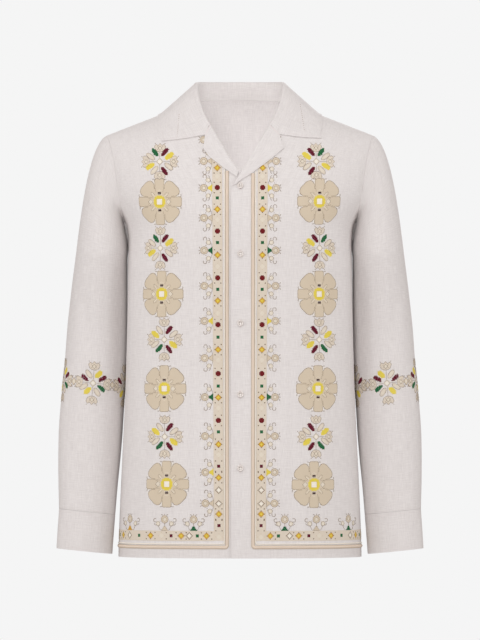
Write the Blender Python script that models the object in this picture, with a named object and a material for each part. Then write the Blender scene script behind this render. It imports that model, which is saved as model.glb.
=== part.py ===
"""Camp collar shirt with long sleeves, as the hollow form it keeps when it is worn.

The wearer's right side is at -X, the front faces -Y and +Z is up. The origin is at the base of the
neck, midway between the shoulders, where the wearer holds the shirt up. Lengths in tables are in
millimetres, and everything else is in metres.
"""
import math
from collections import namedtuple

import bmesh
import bpy
from mathutils import Vector
from mathutils.bvhtree import BVHTree

MM = 0.001
RIGHT = -1
LEFT = 1
SIDE_NAMES = {RIGHT: "right", LEFT: "left"}

# Cloth, seams and layers
CLOTH = 2.0 * MM
COLLAR_CLOTH = 1.4 * MM
SEAM = 0.3 * MM
LAY = 0.45 * MM

# Body
CHEST_Z = -195 * MM
RIDGE_Y = 4 * MM
SQUARE = 2.4
FRONT_ROUND = 2.2
BACK_ROUND = 3.0
BACK_FULL = 2.6

# Neck and shoulders
NECK_HALF = 70 * MM
NECK_Z = 7 * MM
BACK_NECK_Z = 10 * MM
SHOULDER_SLOPE = 0.39
SHOULDER_HALF = 212 * MM
GORGE_Z = -34 * MM

# Front lap and braid, from the centre line towards each front's own side
LAP = 14 * MM
LAP_LIFT = CLOTH + LAY
LAP_FULL = 20 * MM
LAP_END = 60 * MM
BRAID_OUTER = 18 * MM
BRAID_INNER = 23.2 * MM
BRAID_LOW_Z = -707.5 * MM
BRAID_HIGH_Z = -701.5 * MM
BRAID_THICK = 1.4 * MM
BRAID_LAY = 0.65 * MM

# Sleeves and cuffs
SLEEVE_TILT = 0.10
SLEEVE_SQUARE = 2.2
CUFF_LAP_ANGLE = 36
CUFF_LAP_START = 284
CUFF_STEPS = 22

# Buttons
BUTTON_RADIUS = 5.2 * MM
BUTTON_THICK = 2.2 * MM
BUTTON_X = 0.5 * MM
BUTTON_Z = (-130.5, -239, -349, -462, -579)
BUTTON_SIDES = 14

# Mesh steps
SIDE_COLUMNS = 8
NECK_COLUMNS = 8
LOW_ROWS = (-722, -707.5, -701.5, -660, -610, -550, -490, -430, -370, -310, -250, -195)
CLIMBS = (0, 0.13, 0.2577, 0.38, 0.5, 0.62, 0.73, 0.82, 0.9, 0.96, 1)
CAP_RINGS = 6
COLLAR_ROWS = (0, 0.0625, 0.125, 0.1875, 0.25, 0.3125, 0.375, 0.4375, 0.5,
               0.56, 0.62, 0.68, 0.74, 0.8, 0.85, 0.9, 0.94, 0.97, 1)

Section = namedtuple("Section", "z half_width front back side_y")
BODY = (
    Section(-722, 194.5, 131, 128, 0),
    Section(-660, 192.5, 126, 130, -4),
    Section(-600, 189.8, 120, 130, -8),
    Section(-500, 185.0, 111, 128, -12),
    Section(-420, 182.0, 106, 126, -14),
    Section(-330, 179.8, 105, 127, -14),
    Section(-260, 179.2, 109, 126, -10),
    Section(-195, 181.0, 116, 121, -2),
    Section(-150, 204.0, 113, 119, 0),
    Section(-120, 213.5, 110, 118, 0),
    Section(-85, 221.0, 108, 116, 0),
    Section(-45, 228.0, 106, 114, 0),
    Section(35, 240.0, 104, 112, 0),
)

Edge = namedtuple("Edge", "z across")
FRONT_EDGE = (
    Edge(-136, -14),
    Edge(-113.5, 0),
    Edge(-74.5, 24.3),
    Edge(-34, 48),
    Edge(-20, 57),
    Edge(-7, 64.5),
    Edge(7, 70),
)
ARMHOLE = (
    Edge(-195, 181),
    Edge(-180, 186),
    Edge(-150, 192.5),
    Edge(-120, 197),
    Edge(-90, 201.5),
    Edge(-65, 207),
    Edge(-48.4, 212),
)

Station = namedtuple("Station", "z outer inner centre_y half_depth")
SLEEVE = (
    Station(-650, 289.3, 199.4, -9, 36),
    Station(-605, 290.5, 195.7, -2, 42),
    Station(-560, 290.8, 191.3, 6, 47),
    Station(-520, 289.8, 188.0, 12, 51),
    Station(-470, 286.0, 185.0, 18, 54),
    Station(-420, 281.0, 182.4, 22, 56),
    Station(-360, 276.6, 180.6, 24, 59),
    Station(-300, 270.0, 180.0, 20, 63),
    Station(-240, 262.3, 182.0, 12, 66),
)
CUFF = (
    Station(-713, 293.3, 204.0, -15, 33),
    Station(-695, 292.3, 202.8, -13.5, 34),
    Station(-670, 290.6, 200.9, -11, 35),
    Station(-650, 289.3, 199.4, -9, 36),
)

Crease = namedtuple("Crease", "x0 z0 x1 z1 width depth")
FRONT_CREASES = (
    Crease(176, -190, 150, -340, 22, 2.6),
    Crease(150, -420, 166, -640, 26, 2.2),
    Crease(70, -560, 84, -722, 26, 1.4),
)
BACK_CREASES = (
    Crease(128, -110, 120, -330, 26, 3.2),
    Crease(60, -330, 78, -600, 34, 2.6),
    Crease(140, -470, 150, -722, 30, 3.0),
    Crease(20, -520, 26, -722, 30, 2.4),
)

SleeveFold = namedtuple("SleeveFold", "angle z_top z_low turn width depth")
SLEEVE_FOLDS = (
    SleeveFold(132, -235, -500, 10, 17, 3.4),
    SleeveFold(52, -280, -430, 36, 15, 2.2),
    SleeveFold(225, -330, -520, -20, 20, 4.0),
    SleeveFold(290, -240, -420, 18, 20, 2.8),
    SleeveFold(75, -560, -646, -8, 16, 1.6),
)

Neck = namedtuple("Neck", "around roll_x roll_y roll_z edge_x edge_z behind")
COLLAR = (
    Neck(0.00, 0.0, 56.5, 35.5, 0, -26, 1),
    Neck(0.15, 31.0, 54.0, 35.5, 46, -26, 1),
    Neck(0.30, 54.0, 41.0, 35.0, 86, -25, 1),
    Neck(0.42, 64.5, 20.0, 34.0, 115, -20, 1),
    Neck(0.50, 67.0, 1.0, 32.0, 129, -15.5, 0),
    Neck(0.60, 67.0, -17.0, 24.5, 131, -25, 0),
    Neck(0.70, 65.0, -31.0, 12.0, 130.5, -34, 0),
    Neck(0.80, 61.5, -43.0, -1.0, 129, -42, 0),
    Neck(0.90, 55.6, -56.0, -17.0, 127, -50, 0),
)
COLLAR_POINT = {RIGHT: (124.5, -59.5), LEFT: (130, -55)}
NOTCH = {RIGHT: (55.2, -49.6), LEFT: (62.2, -48.8)}
NOTCH_SHARE = 0.2
FALL_SHARES = (0.06, 0.13, 0.2, 0.4, 0.6, 0.8, 1)
ROLL_RADIUS = 3.2 * MM
ROLL_END_RADIUS = 2.4 * MM
STAND_STEPS = 2
ROLL_END = 6
STAND_DROP = 2.2 * MM
SEAM_BEND = 1.6
END_ANGLE = 0.19

Revers = namedtuple("Revers", "roll_z edge_across edge_z")
LAPELS = {
    RIGHT: (
        Revers(-109.5, 5.2, -116.7),
        Revers(-98, 23.5, -104),
        Revers(-90, 33.4, -96.5),
        Revers(-81, 49.3, -84.2),
        Revers(-71, 58.4, -71.2),
        Revers(-52, 56.7, -60),
        Revers(-35.4, 55.4, -50.3),
    ),
    LEFT: (
        Revers(-129.5, -7.6, -129),
        Revers(-124, 1.1, -122),
        Revers(-113, 19, -110.9),
        Revers(-100, 40, -95.2),
        Revers(-86, 58.4, -80.5),
        Revers(-74, 69.4, -71.2),
        Revers(-54, 65.6, -59.5),
        Revers(-35.4, 62.6, -49.5),
    ),
}
LAPEL_COLUMNS = 6


def clear_objects():
    """Start from an empty scene."""
    for item in list(bpy.data.objects):
        bpy.data.objects.remove(item, do_unlink=True)


def make_material(name, colour, roughness):
    """Plain material of one colour."""
    material = bpy.data.materials.new(name)
    material.use_nodes = True
    shader = material.node_tree.nodes["Principled BSDF"]
    shader.inputs["Base Color"].default_value = (*colour, 1)
    shader.inputs["Roughness"].default_value = roughness
    return material


def clamp(value, low=0.0, high=1.0):
    return min(max(value, low), high)


def smooth(value):
    """Soft step from 0 to 1."""
    t = clamp(value)
    return t * t * (3 - 2 * t)


def bell(distance):
    """Soft bump, 1 at the middle and 0 from one unit away."""
    return 1 - smooth(abs(distance))


def read(rows, at):
    """Row of a table at any value of its first column, on a smooth curve through its rows."""
    order = rows if rows[0][0] < rows[-1][0] else rows[::-1]
    at = clamp(at, order[0][0], order[-1][0])
    i = max(k for k in range(len(order) - 1) if order[k][0] <= at)
    span = order[i + 1][0] - order[i][0]
    t = (at - order[i][0]) / span

    def slope(k, column):
        low = order[max(k - 1, 0)]
        high = order[min(k + 1, len(order) - 1)]
        return (high[column] - low[column]) / (high[0] - low[0])

    def curve(column):
        start, end = order[i][column], order[i + 1][column]
        lead = (t ** 3 - 2 * t ** 2 + t) * span * slope(i, column)
        trail = (t ** 3 - t ** 2) * span * slope(i + 1, column)
        blend = 3 * t ** 2 - 2 * t ** 3
        return start + (end - start) * blend + lead + trail

    return type(order[0])(*(curve(column) for column in range(len(order[0]))))


def straight(rows, at):
    """Second column of a table, on straight lines between its rows."""
    if at <= rows[0][0]:
        return rows[0][1]
    for low, high in zip(rows, rows[1:]):
        if at <= high[0]:
            return low[1] + (high[1] - low[1]) * (at - low[0]) / (high[0] - low[0])
    return rows[-1][1]


def ridge_z(x):
    """Height of the shoulder line, carried on across the neck as a low arch."""
    x = abs(x)
    if x >= NECK_HALF:
        return NECK_Z - SHOULDER_SLOPE * (x - NECK_HALF)
    return NECK_Z + SHOULDER_SLOPE * NECK_HALF / 2 * (1 - (x / NECK_HALF) ** 2)


def back_top_z(x):
    """Height of the back's upper edge: the neck seam, then the shoulder line."""
    if abs(x) >= NECK_HALF:
        return ridge_z(x)
    return BACK_NECK_Z - (BACK_NECK_Z - NECK_Z) * (x / NECK_HALF) ** 2


def section_share(x, half_width):
    """Share of the full depth left at x in a body section with rounded corners."""
    return max(0.0, 1 - (abs(x) / half_width) ** SQUARE) ** (1 / SQUARE)


def crease_depth(creases, x, z):
    """How far the soft creases draw the cloth in at a place."""
    total = 0.0
    for row in creases:
        run_x, run_z = (row.x1 - row.x0) * MM, (row.z1 - row.z0) * MM
        off_x, off_z = abs(x) - row.x0 * MM, z - row.z0 * MM
        along = (off_x * run_x + off_z * run_z) / (run_x ** 2 + run_z ** 2)
        across = (off_x * run_z - off_z * run_x) / math.hypot(run_x, run_z)
        ends = smooth(along / 0.35) * smooth((1.25 - along) / 0.35)
        total += row.depth * MM * bell(across / (row.width * MM)) * ends
    return total


def climb_at(x, z):
    """How far z has climbed from the chest to the shoulder line, from 0 to 1."""
    return clamp((z - CHEST_Z) / (ridge_z(x) - CHEST_Z))


def front_y(x, z):
    """Depth of the front's outer face."""
    row = read(BODY, z / MM)
    full = (row.side_y - row.front * section_share(x / MM, row.half_width)) * MM
    share = (1 - climb_at(x, z) ** FRONT_ROUND) ** 0.5
    inward = crease_depth(FRONT_CREASES, x, z) * section_share(x / MM, row.half_width)
    return RIDGE_Y + (full - RIDGE_Y) * share + inward


def back_y(x, z):
    """Depth of the back's outer face."""
    row = read(BODY, z / MM)
    full = (row.side_y + row.back * section_share(x / MM, row.half_width)) * MM
    share = (1 - climb_at(x, z) ** BACK_ROUND) ** (1 / BACK_FULL)
    inward = crease_depth(BACK_CREASES, x, z) * section_share(x / MM, row.half_width)
    return RIDGE_Y + (full - RIDGE_Y) * share - inward


def front_point(side, across, z):
    """Point on one front, from its distance to the centre line. The left front laps over."""
    x = side * across
    y = front_y(x, z)
    if side == LEFT:
        y -= LAP_LIFT * smooth((LAP_END - across) / (LAP_END - LAP_FULL))
    return Vector((x, y, z))


def front_normal(side, across, z):
    """Direction out of one front."""
    step = 2 * MM
    run = front_point(side, across + step, z) - front_point(side, across - step, z)
    rise = front_point(side, across, z + step) - front_point(side, across, z - step)
    return rise.cross(run).normalized() * side * -1


def on_front(side, across, z, lift):
    """Point lifted off one front."""
    return front_point(side, across, z) + front_normal(side, across, z) * lift


def front_edge(z):
    """Distance from the centre line to a front's inner edge: lap, roll line, then neck seam."""
    clear = 1.5 * smooth((z / MM + 60) / 26)
    return (straight(FRONT_EDGE, z / MM) + clear) * MM


def armhole_edge(z):
    """Distance from the centre line to the armhole seam."""
    return read(ARMHOLE, z / MM).across * MM


def meet(edge, climb):
    """Where a row at one share of the climb meets an edge that is given by height."""
    low, high = -LAP * 2, SHOULDER_HALF * 1.1
    for _ in range(40):
        middle = (low + high) / 2
        z = CHEST_Z + climb * (ridge_z(middle) - CHEST_Z)
        if middle < edge(z):
            low = middle
        else:
            high = middle
    return (low + high) / 2


def side_spread(columns):
    """Column shares from the braid to the side, closer together where the body turns."""
    start = math.asin((BRAID_INNER / MM / 181) ** (SQUARE / 2))
    turns = [start + (math.pi / 2 - start) * k / columns for k in range(columns + 1)]
    reach = [math.sin(turn) ** (2 / SQUARE) for turn in turns]
    return [(r - reach[0]) / (1 - reach[0]) for r in reach]


def front_grid(side, columns, low_rows, climbs):
    """Rows of points over one front, from hem to shoulder."""
    spread = side_spread(columns)
    first = [-LAP, 2 * MM, BRAID_OUTER]
    grid = []
    for z in low_rows:
        reach = read(BODY, z).half_width * MM
        across = first + [BRAID_INNER + (reach - BRAID_INNER) * share for share in spread]
        row = [front_point(side, a, z * MM) for a in across]
        row[-1].y -= SEAM / 2
        grid.append(row)
    shares = [(a + LAP) / (across[-1] + LAP) for a in across]
    for climb in climbs[1:]:
        near, far = meet(front_edge, climb), meet(armhole_edge, climb)
        row = []
        for share in shares:
            a = near + (far - near) * share
            row.append(front_point(side, a, CHEST_Z + climb * (ridge_z(a) - CHEST_Z)))
        grid.append(row)
    for point in grid[-1]:
        point.y = RIDGE_Y - SEAM / 2
    return grid


def back_shares(neck_columns, side_columns):
    """Column shares across the back, with one column on each end of the neck seam."""
    neck = NECK_HALF / SHOULDER_HALF
    shares = [neck * math.sin(math.pi / 2 * k / neck_columns) for k in range(neck_columns + 1)]
    start = math.asin(neck ** (SQUARE / 2))
    for k in range(1, side_columns + 1):
        turn = start + (math.pi / 2 - start) * k / side_columns
        shares.append(math.sin(turn) ** (2 / SQUARE))
    return [-share for share in shares[:0:-1]] + shares


def back_grid(neck_columns, side_columns, low_rows, climbs):
    """Rows of points over the back, from hem to shoulder."""
    shares = back_shares(neck_columns, side_columns)
    grid = []
    for z in low_rows:
        reach = read(BODY, z).half_width * MM
        row = [Vector((s * reach, back_y(s * reach, z * MM), z * MM)) for s in shares]
        for point in (row[0], row[-1]):
            point.y += SEAM / 2
        grid.append(row)
    for climb in climbs[1:]:
        reach = meet(armhole_edge, climb)
        row = []
        for share in shares:
            x = share * reach
            z = CHEST_Z + climb * (back_top_z(x) - CHEST_Z)
            row.append(Vector((x, back_y(x, z), z)))
        grid.append(row)
    for point in grid[-1]:
        if abs(point.x) >= NECK_HALF * 0.999:
            point.y = RIDGE_Y + SEAM / 2
    return grid


def grid_normals(grid, flip=1, ring=False):
    """Unit normals of a grid of points."""
    rows, columns = len(grid), len(grid[0])
    normals = []
    for i in range(rows):
        line = []
        for j in range(columns):
            up = grid[min(i + 1, rows - 1)][j] - grid[max(i - 1, 0)][j]
            if ring:
                along = grid[i][(j + 1) % columns] - grid[i][j - 1]
            else:
                along = grid[i][min(j + 1, columns - 1)] - grid[i][max(j - 1, 0)]
            line.append(along.cross(up).normalized() * flip)
        normals.append(line)
    return normals


def level_side_seams(normals, columns_at, top_columns):
    """Let seam normals point straight out, so that both panels' edges face each other."""
    chest_row = len(LOW_ROWS) - 1
    for i in range(chest_row + 1):
        for j in columns_at:
            normals[i][j].y = 0
            normals[i][j].normalize()
    for j in top_columns:
        normals[-1][j].y = 0
        normals[-1][j].normalize()


def inset(grid, normals, depth):
    """Grid moved in along its normals."""
    return [[p - n * depth for p, n in zip(row, line)] for row, line in zip(grid, normals)]


def wall(name, outer, inner, material, ring=False):
    """Closed solid between two matching grids of points."""
    rows, columns = len(outer), len(outer[0])
    mesh = bpy.data.meshes.new(name)
    shape = bmesh.new()
    faces = {key: [[shape.verts.new(p) for p in row] for row in grid]
             for key, grid in (("outer", outer), ("inner", inner))}
    across = columns if ring else columns - 1
    for i in range(rows - 1):
        for j in range(across):
            k = (j + 1) % columns
            for grid in faces.values():
                shape.faces.new((grid[i][j], grid[i][k], grid[i + 1][k], grid[i + 1][j]))
    out, inn = faces["outer"], faces["inner"]
    for i in (0, rows - 1):
        for j in range(across):
            k = (j + 1) % columns
            shape.faces.new((out[i][j], out[i][k], inn[i][k], inn[i][j]))
    if not ring:
        for j in (0, columns - 1):
            for i in range(rows - 1):
                shape.faces.new((out[i][j], out[i + 1][j], inn[i + 1][j], inn[i][j]))
    bmesh.ops.triangulate(shape, faces=shape.faces[:])
    bmesh.ops.recalc_face_normals(shape, faces=shape.faces[:])
    shape.to_mesh(mesh)
    shape.free()
    mesh.shade_smooth()
    mesh.set_sharp_from_angle(angle=math.radians(40))
    mesh.materials.append(material)
    item = bpy.data.objects.new(name, mesh)
    bpy.context.scene.collection.objects.link(item)
    return item


def make_front(side, material):
    """One front, and the grids of its seams."""
    grid = front_grid(side, SIDE_COLUMNS, LOW_ROWS, CLIMBS)
    normals = grid_normals(grid, side)
    level_side_seams(normals, [-1], range(len(grid[0])))
    wall(f"front_{SIDE_NAMES[side]}", grid, inset(grid, normals, CLOTH), material)
    return grid, normals


def make_back(material):
    """The back, and the grids of its seams."""
    grid = back_grid(NECK_COLUMNS, SIDE_COLUMNS - 1, LOW_ROWS, CLIMBS)
    normals = grid_normals(grid, -1)
    shoulder = [j for j, p in enumerate(grid[-1]) if abs(p.x) > NECK_HALF * 0.999]
    level_side_seams(normals, [0, -1], shoulder)
    wall("back", grid, inset(grid, normals, CLOTH), material)
    return grid, normals


def armhole_ring(side, front, back):
    """Seam points and normals round an armhole: shoulder, front, underarm, back."""
    chest_row = len(LOW_ROWS) - 1
    back_column = 0 if side == RIGHT else -1
    front_part = [(front[0][i][-1], front[1][i][-1]) for i in range(chest_row, len(front[0]))]
    back_part = [(back[0][i][back_column], back[1][i][back_column])
                 for i in range(chest_row, len(back[0]))]
    ring = front_part[::-1] + back_part[1:-1]
    points = [pair[0].copy() for pair in ring]
    normals = [pair[1].copy() for pair in ring]
    points[0].y = RIDGE_Y
    return points, normals


def sleeve_ring(side, station, angles):
    """Ring of points round a sleeve: outside, front, inside, back."""
    centre = (station.outer + station.inner) / 2
    half = (station.outer - station.inner) / 2
    ring = []
    for angle in angles:
        turn = math.radians(angle)
        c, s = math.cos(turn), math.sin(turn)
        round_off = (abs(c) ** SLEEVE_SQUARE + abs(s) ** SLEEVE_SQUARE) ** (-1 / SLEEVE_SQUARE)
        out, forward = half * c * round_off, station.half_depth * s * round_off
        depth = sleeve_fold(angle, station.z)
        length = math.hypot(out, forward)
        out, forward = out * (1 - depth / length), forward * (1 - depth / length)
        ring.append(Vector((side * (centre + out), station.centre_y - forward,
                            station.z + SLEEVE_TILT * out)) * MM)
    return ring


def sleeve_fold(angle, z):
    """How far the soft folds draw a sleeve in."""
    total = 0.0
    for row in SLEEVE_FOLDS:
        along = (row.z_top - z) / (row.z_top - row.z_low)
        middle = row.angle + row.turn * along
        away = (angle - middle + 180) % 360 - 180
        ends = smooth(along / 0.3) * smooth((1 - along) / 0.3)
        total += row.depth * bell(away / (row.width * 1.6)) * ends
    return total


def cap_leads(side, points, normals):
    """Directions and lengths in which the sleeve's cloth leaves the armhole seam."""
    count = len(points)
    leads = []
    for i, (point, normal) in enumerate(zip(points, normals)):
        along = points[(i + 1) % count] - points[i - 1]
        away = along.cross(normal).normalized() * -side
        turn = 2 * math.pi * i / count
        fall = 0.35 * (1 + math.cos(turn)) / 2 + 1.1 * abs(math.sin(turn))
        lead = (away + Vector((side, 0, -fall))).normalized()
        top = (1 + math.cos(turn)) / 2
        leads.append((away, lead, (8 + 22 * top + 10 * abs(math.sin(turn))) * MM,
                      (30 + 40 * top) * MM))
    return leads


def cap_rings(side, points, normals, first_ring, steps):
    """Rings from the armhole seam, over the sleeve cap, to the first full ring."""
    rings = []
    leads = cap_leads(side, points, normals)
    for k in range(steps):
        t = k / steps
        ring = []
        for i, (away, lead, out_length, in_length) in enumerate(leads):
            start, end = points[i] + away * SEAM, first_ring[i]
            one = start + lead * out_length
            two = end + Vector((side * -0.12, 0, 1)).normalized() * in_length
            ring.append(start * (1 - t) ** 3 + one * 3 * t * (1 - t) ** 2
                        + two * 3 * t ** 2 * (1 - t) + end * t ** 3)
        rings.append(ring)
    return rings


def lie_in_cuff_plane(side, normals):
    """Turn normals into the slanted plane of the cuff seam, so that both rims face each other."""
    upright = Vector((-side * SLEEVE_TILT, 0, 1)).normalized()
    for normal in normals:
        normal -= upright * normal.dot(upright)
        normal.normalize()


def make_sleeve(side, front, back, material):
    """One sleeve, from the armhole seam to the cuff seam."""
    points, normals = armhole_ring(side, front, back)
    count = len(points)
    angles = [360 * i / count for i in range(count)]
    full = [sleeve_ring(side, row, angles) for row in SLEEVE[::-1]]
    for point in full[-1]:
        point.z += SEAM
    rings = cap_rings(side, points, normals, full[0], CAP_RINGS) + full
    ring_normals = grid_normals(rings, side, ring=True)
    ring_normals[0] = normals
    lie_in_cuff_plane(side, ring_normals[-1])
    wall(f"sleeve_{SIDE_NAMES[side]}", rings, inset(rings, ring_normals, CLOTH), material, ring=True)


def make_cuff(side, material):
    """One cuff, a strip lapped over its own end at the outer back."""
    steps = CUFF_STEPS
    sweep = 360 + CUFF_LAP_ANGLE
    rows = []
    for station in CUFF[::-1]:
        angles = [CUFF_LAP_START + sweep * k / steps for k in range(steps + 1)]
        ring = sleeve_ring(side, station, [angle % 360 for angle in angles])
        centre = Vector((side * (station.outer + station.inner) / 2, station.centre_y, station.z)) * MM
        for k, point in enumerate(ring):
            out = Vector((point.x - centre.x, point.y - centre.y, 0)).normalized()
            out.z = SLEEVE_TILT * side * out.x
            lapped = smooth((k / steps * sweep - 316) / CUFF_LAP_ANGLE)
            ring[k] = point + out * (CLOTH + LAY) * lapped
        rows.append(ring)
    normals = grid_normals(rows, side)
    lie_in_cuff_plane(side, normals[0])
    wall(f"cuff_{SIDE_NAMES[side]}", rows, inset(rows, normals, CLOTH), material)
    middle = len(rows) // 2
    return rows[middle][steps - 1], normals[middle][steps - 1]


def make_button(name, seat, normal, material):
    """Flat round button with a raised rim, lying on the cloth."""
    profile = (
        (0.55, 0.0), (0.9, 0.12), (1.0, 0.45), (0.94, 0.9), (0.8, 1.0), (0.66, 0.78),
    )
    spin = normal.to_track_quat("Z", "Y")
    base = seat + normal * SEAM
    shape = bmesh.new()
    rings = []
    for radius, height in profile:
        ring = []
        for k in range(BUTTON_SIDES):
            turn = 2 * math.pi * k / BUTTON_SIDES
            local = Vector((math.cos(turn) * radius * BUTTON_RADIUS,
                            math.sin(turn) * radius * BUTTON_RADIUS, height * BUTTON_THICK))
            ring.append(shape.verts.new(base + spin @ local))
        rings.append(ring)
    for low, high in zip(rings, rings[1:]):
        for k in range(BUTTON_SIDES):
            after = (k + 1) % BUTTON_SIDES
            shape.faces.new((low[k], low[after], high[after], high[k]))
    shape.faces.new(rings[0])
    shape.faces.new(rings[-1])
    bmesh.ops.triangulate(shape, faces=shape.faces[:])
    bmesh.ops.recalc_face_normals(shape, faces=shape.faces[:])
    mesh = bpy.data.meshes.new(name)
    shape.to_mesh(mesh)
    shape.free()
    mesh.shade_smooth()
    mesh.set_sharp_from_angle(angle=math.radians(40))
    mesh.materials.append(material)
    item = bpy.data.objects.new(name, mesh)
    bpy.context.scene.collection.objects.link(item)


def make_front_buttons(material):
    """Five buttons down the lap."""
    for number, z in enumerate(BUTTON_Z, start=1):
        seat = front_point(LEFT, BUTTON_X, z * MM)
        make_button(f"button_{number}", seat, front_normal(LEFT, BUTTON_X, z * MM), material)


def lapel_line(side):
    """Outer edge of a lapel, as heights by distance from the centre line."""
    rows = [row for row in LAPELS[side] if row.edge_across <= 50]
    return [(row.edge_across, row.edge_z) for row in rows]


def make_edging(side, front, material):
    """Raised braid down one front, round the corner and along the hem."""
    grid, normals = front
    outer_column, inner_column = 2, 3
    low_row, high_row = 1, 2
    last_row = len(LOW_ROWS) + 1
    path = []
    top = []
    for across in (BRAID_OUTER, BRAID_INNER):
        z = straight(lapel_line(side), across / MM) * MM - 0.8 * MM
        top.append((front_point(side, across, z), front_normal(side, across, z)))
    path.append(top)
    for i in range(last_row, high_row, -1):
        path.append([(grid[i][j], normals[i][j]) for j in (outer_column, inner_column)])
    path.append([(grid[low_row][outer_column], normals[low_row][outer_column]),
                 (grid[high_row][inner_column], normals[high_row][inner_column])])
    for j in range(inner_column + 1, len(grid[0])):
        path.append([(grid[low_row][j], normals[low_row][j]),
                     (grid[high_row][j], normals[high_row][j])])
    low = [[p + n * BRAID_LAY for p, n in pair] for pair in path]
    high = [[p + n * (BRAID_LAY + BRAID_THICK) for p, n in pair] for pair in path]
    wall(f"edging_{SIDE_NAMES[side]}", high, low, material)


def refine(rows):
    """Table rows with one more row between each pair."""
    result = []
    for low, high in zip(rows, rows[1:]):
        result += [low, type(low)(*((a + b) / 2 for a, b in zip(low, high)))]
    return result + [rows[-1]]


def make_lapel(side, material):
    """Turned-back lapel, lying on its front from the roll line outward."""
    under, over = [], []
    for row in refine(LAPELS[side]):
        roll = straight(FRONT_EDGE, row.roll_z)
        places = []
        for k in range(LAPEL_COLUMNS + 1):
            share = k / LAPEL_COLUMNS
            places.append(((roll + (row.edge_across - roll) * share) * MM,
                           (row.roll_z + (row.edge_z - row.roll_z) * share) * MM))
        under.append([on_front(side, a, z, LAY) for a, z in places])
        over.append([on_front(side, a, z, LAY + COLLAR_CLOTH) for a, z in places])
    wall(f"lapel_{SIDE_NAMES[side]}", over, under, material)


def fine_surfaces(side):
    """Nearest-point lookup over one front and the back."""
    low_rows = [-250 + 11 * k for k in range(6)]
    climbs = [math.sin(math.pi / 2 * k / 24) for k in range(25)]
    trees = []
    for grid, flip in ((front_grid(side, 22, low_rows, climbs), side),
                       (back_grid(10, 20, low_rows, climbs), -1)):
        columns = len(grid[0])
        points = [p for row in grid for p in row]
        quads = []
        for i in range(len(grid) - 1):
            for j in range(columns - 1):
                a = i * columns + j
                quad = (a, a + 1, a + columns + 1, a + columns)
                quads.append(quad if flip > 0 else quad[::-1])
        trees.append(BVHTree.FromPolygons(points, quads))
    return trees


def push_out(point, trees, clear):
    """Move a point that is too near the body out to a clear distance."""
    found = [tree.find_nearest(point) for tree in trees]
    place, normal, _, _ = min(found, key=lambda hit: hit[3])
    height = (point - place).dot(normal)
    beside = (point - place - normal * height).length
    if height < clear and beside < 2 * MM:
        point = place + normal * clear
    return point


def neck_seam(side, around):
    """Point on the neck seam and the panel's normal there."""
    step = 2 * MM
    if around <= 0.5:
        x = side * NECK_HALF * math.sin(math.pi * around)
        z = back_top_z(x)
        place = Vector((x, back_y(x, z), z))
        if around == 0.5:
            place.y = RIDGE_Y
        tilt = 0.6 * math.cos(math.pi * around)
        return place, Vector((side * 0.45 * math.sin(math.pi * around), tilt, 0.82)).normalized()
    z = NECK_Z + (GORGE_Z - NECK_Z) * (2 * around - 1) ** SEAM_BEND - step * (1 - around)
    across = straight(FRONT_EDGE, z / MM) * MM
    return front_point(side, across, z), front_normal(side, across, z)


def seam_foot(side, around):
    """Foot of the collar's stand, just inside the neck seam, with its own up and inward."""
    place, normal = neck_seam(side, around)
    if around <= 0.5:
        turn = math.pi * around
        inward = -Vector((side * math.sin(turn), math.cos(turn), 0))
        corner = place - normal * CLOTH
        foot = corner + inward * (SEAM + 0.1 * MM + COLLAR_CLOTH)
        foot.z = place.z - 1 * MM
        return foot, normal, inward
    step = 0.02
    ahead, _ = neck_seam(side, min(around + step, 1))
    behind, _ = neck_seam(side, around - step)
    inward = normal.cross(ahead - behind).normalized() * side
    if inward.dot(Vector((0, 0, 12 * MM)) - place) < 0:
        inward.negate()
    foot = place + inward * (SEAM + 0.1 * MM + COLLAR_CLOTH) - normal * STAND_DROP
    return foot, normal, inward


def roll_over(points, radius, final, tangent):
    """Set the turned-over roll of one collar row, square to the roll line's tangent."""
    foot, roll = points[0], points[STAND_STEPS]
    down = foot - roll
    down = (down - tangent * down.dot(tangent)).normalized()
    out = points[ROLL_END] - roll
    out -= tangent * out.dot(tangent)
    out = (out - down * out.dot(down)).normalized()
    centre = roll + out * radius
    points[1] = foot.lerp(roll, 0.5)
    steps = ROLL_END - STAND_STEPS
    for k in range(1, steps + 1):
        turn = -math.pi / 2 + (final + math.pi / 2) * k / steps
        points[STAND_STEPS + k] = centre + (out * math.sin(turn) - down * math.cos(turn)) * radius


def collar_row(side, row):
    """Points across the collar from foot to outer edge, its roll radius and the roll's end angle."""
    foot, _, _ = seam_foot(side, row.around)
    roll = Vector((side * row.roll_x, row.roll_y, row.roll_z)) * MM
    radius = ROLL_RADIUS + (ROLL_END_RADIUS - ROLL_RADIUS) * smooth((row.around - 0.7) / 0.3)
    x, z = side * row.edge_x * MM, row.edge_z * MM
    edge = Vector((x, back_y(x, z) if row.behind else front_y(x, z), z))
    down = (foot - roll).normalized()
    out = edge - roll
    out = (out - down * out.dot(down)).normalized()
    fall = (edge - roll - out * radius).normalized()
    final = math.atan2(fall.dot(down), fall.dot(out))
    points = [foot, None, roll] + [edge] * (ROLL_END - STAND_STEPS)
    roll_over(points, radius, final, Vector())
    return points + [points[-1].lerp(edge, share) for share in FALL_SHARES], radius, final


def end_row(side):
    """Points across the collar's front end, which follows the gorge to the notch and the point."""
    foot, normal, inward = seam_foot(side, 1)
    roll = foot + normal * (STAND_DROP - 0.9 * MM)
    points = [foot, None, roll] + [roll - inward] * (ROLL_END - STAND_STEPS)
    roll_over(points, ROLL_END_RADIUS, END_ANGLE, Vector())
    start = points[-1]
    return points + [end_row_point(side, share, start) for share in FALL_SHARES], ROLL_END_RADIUS, END_ANGLE


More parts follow.
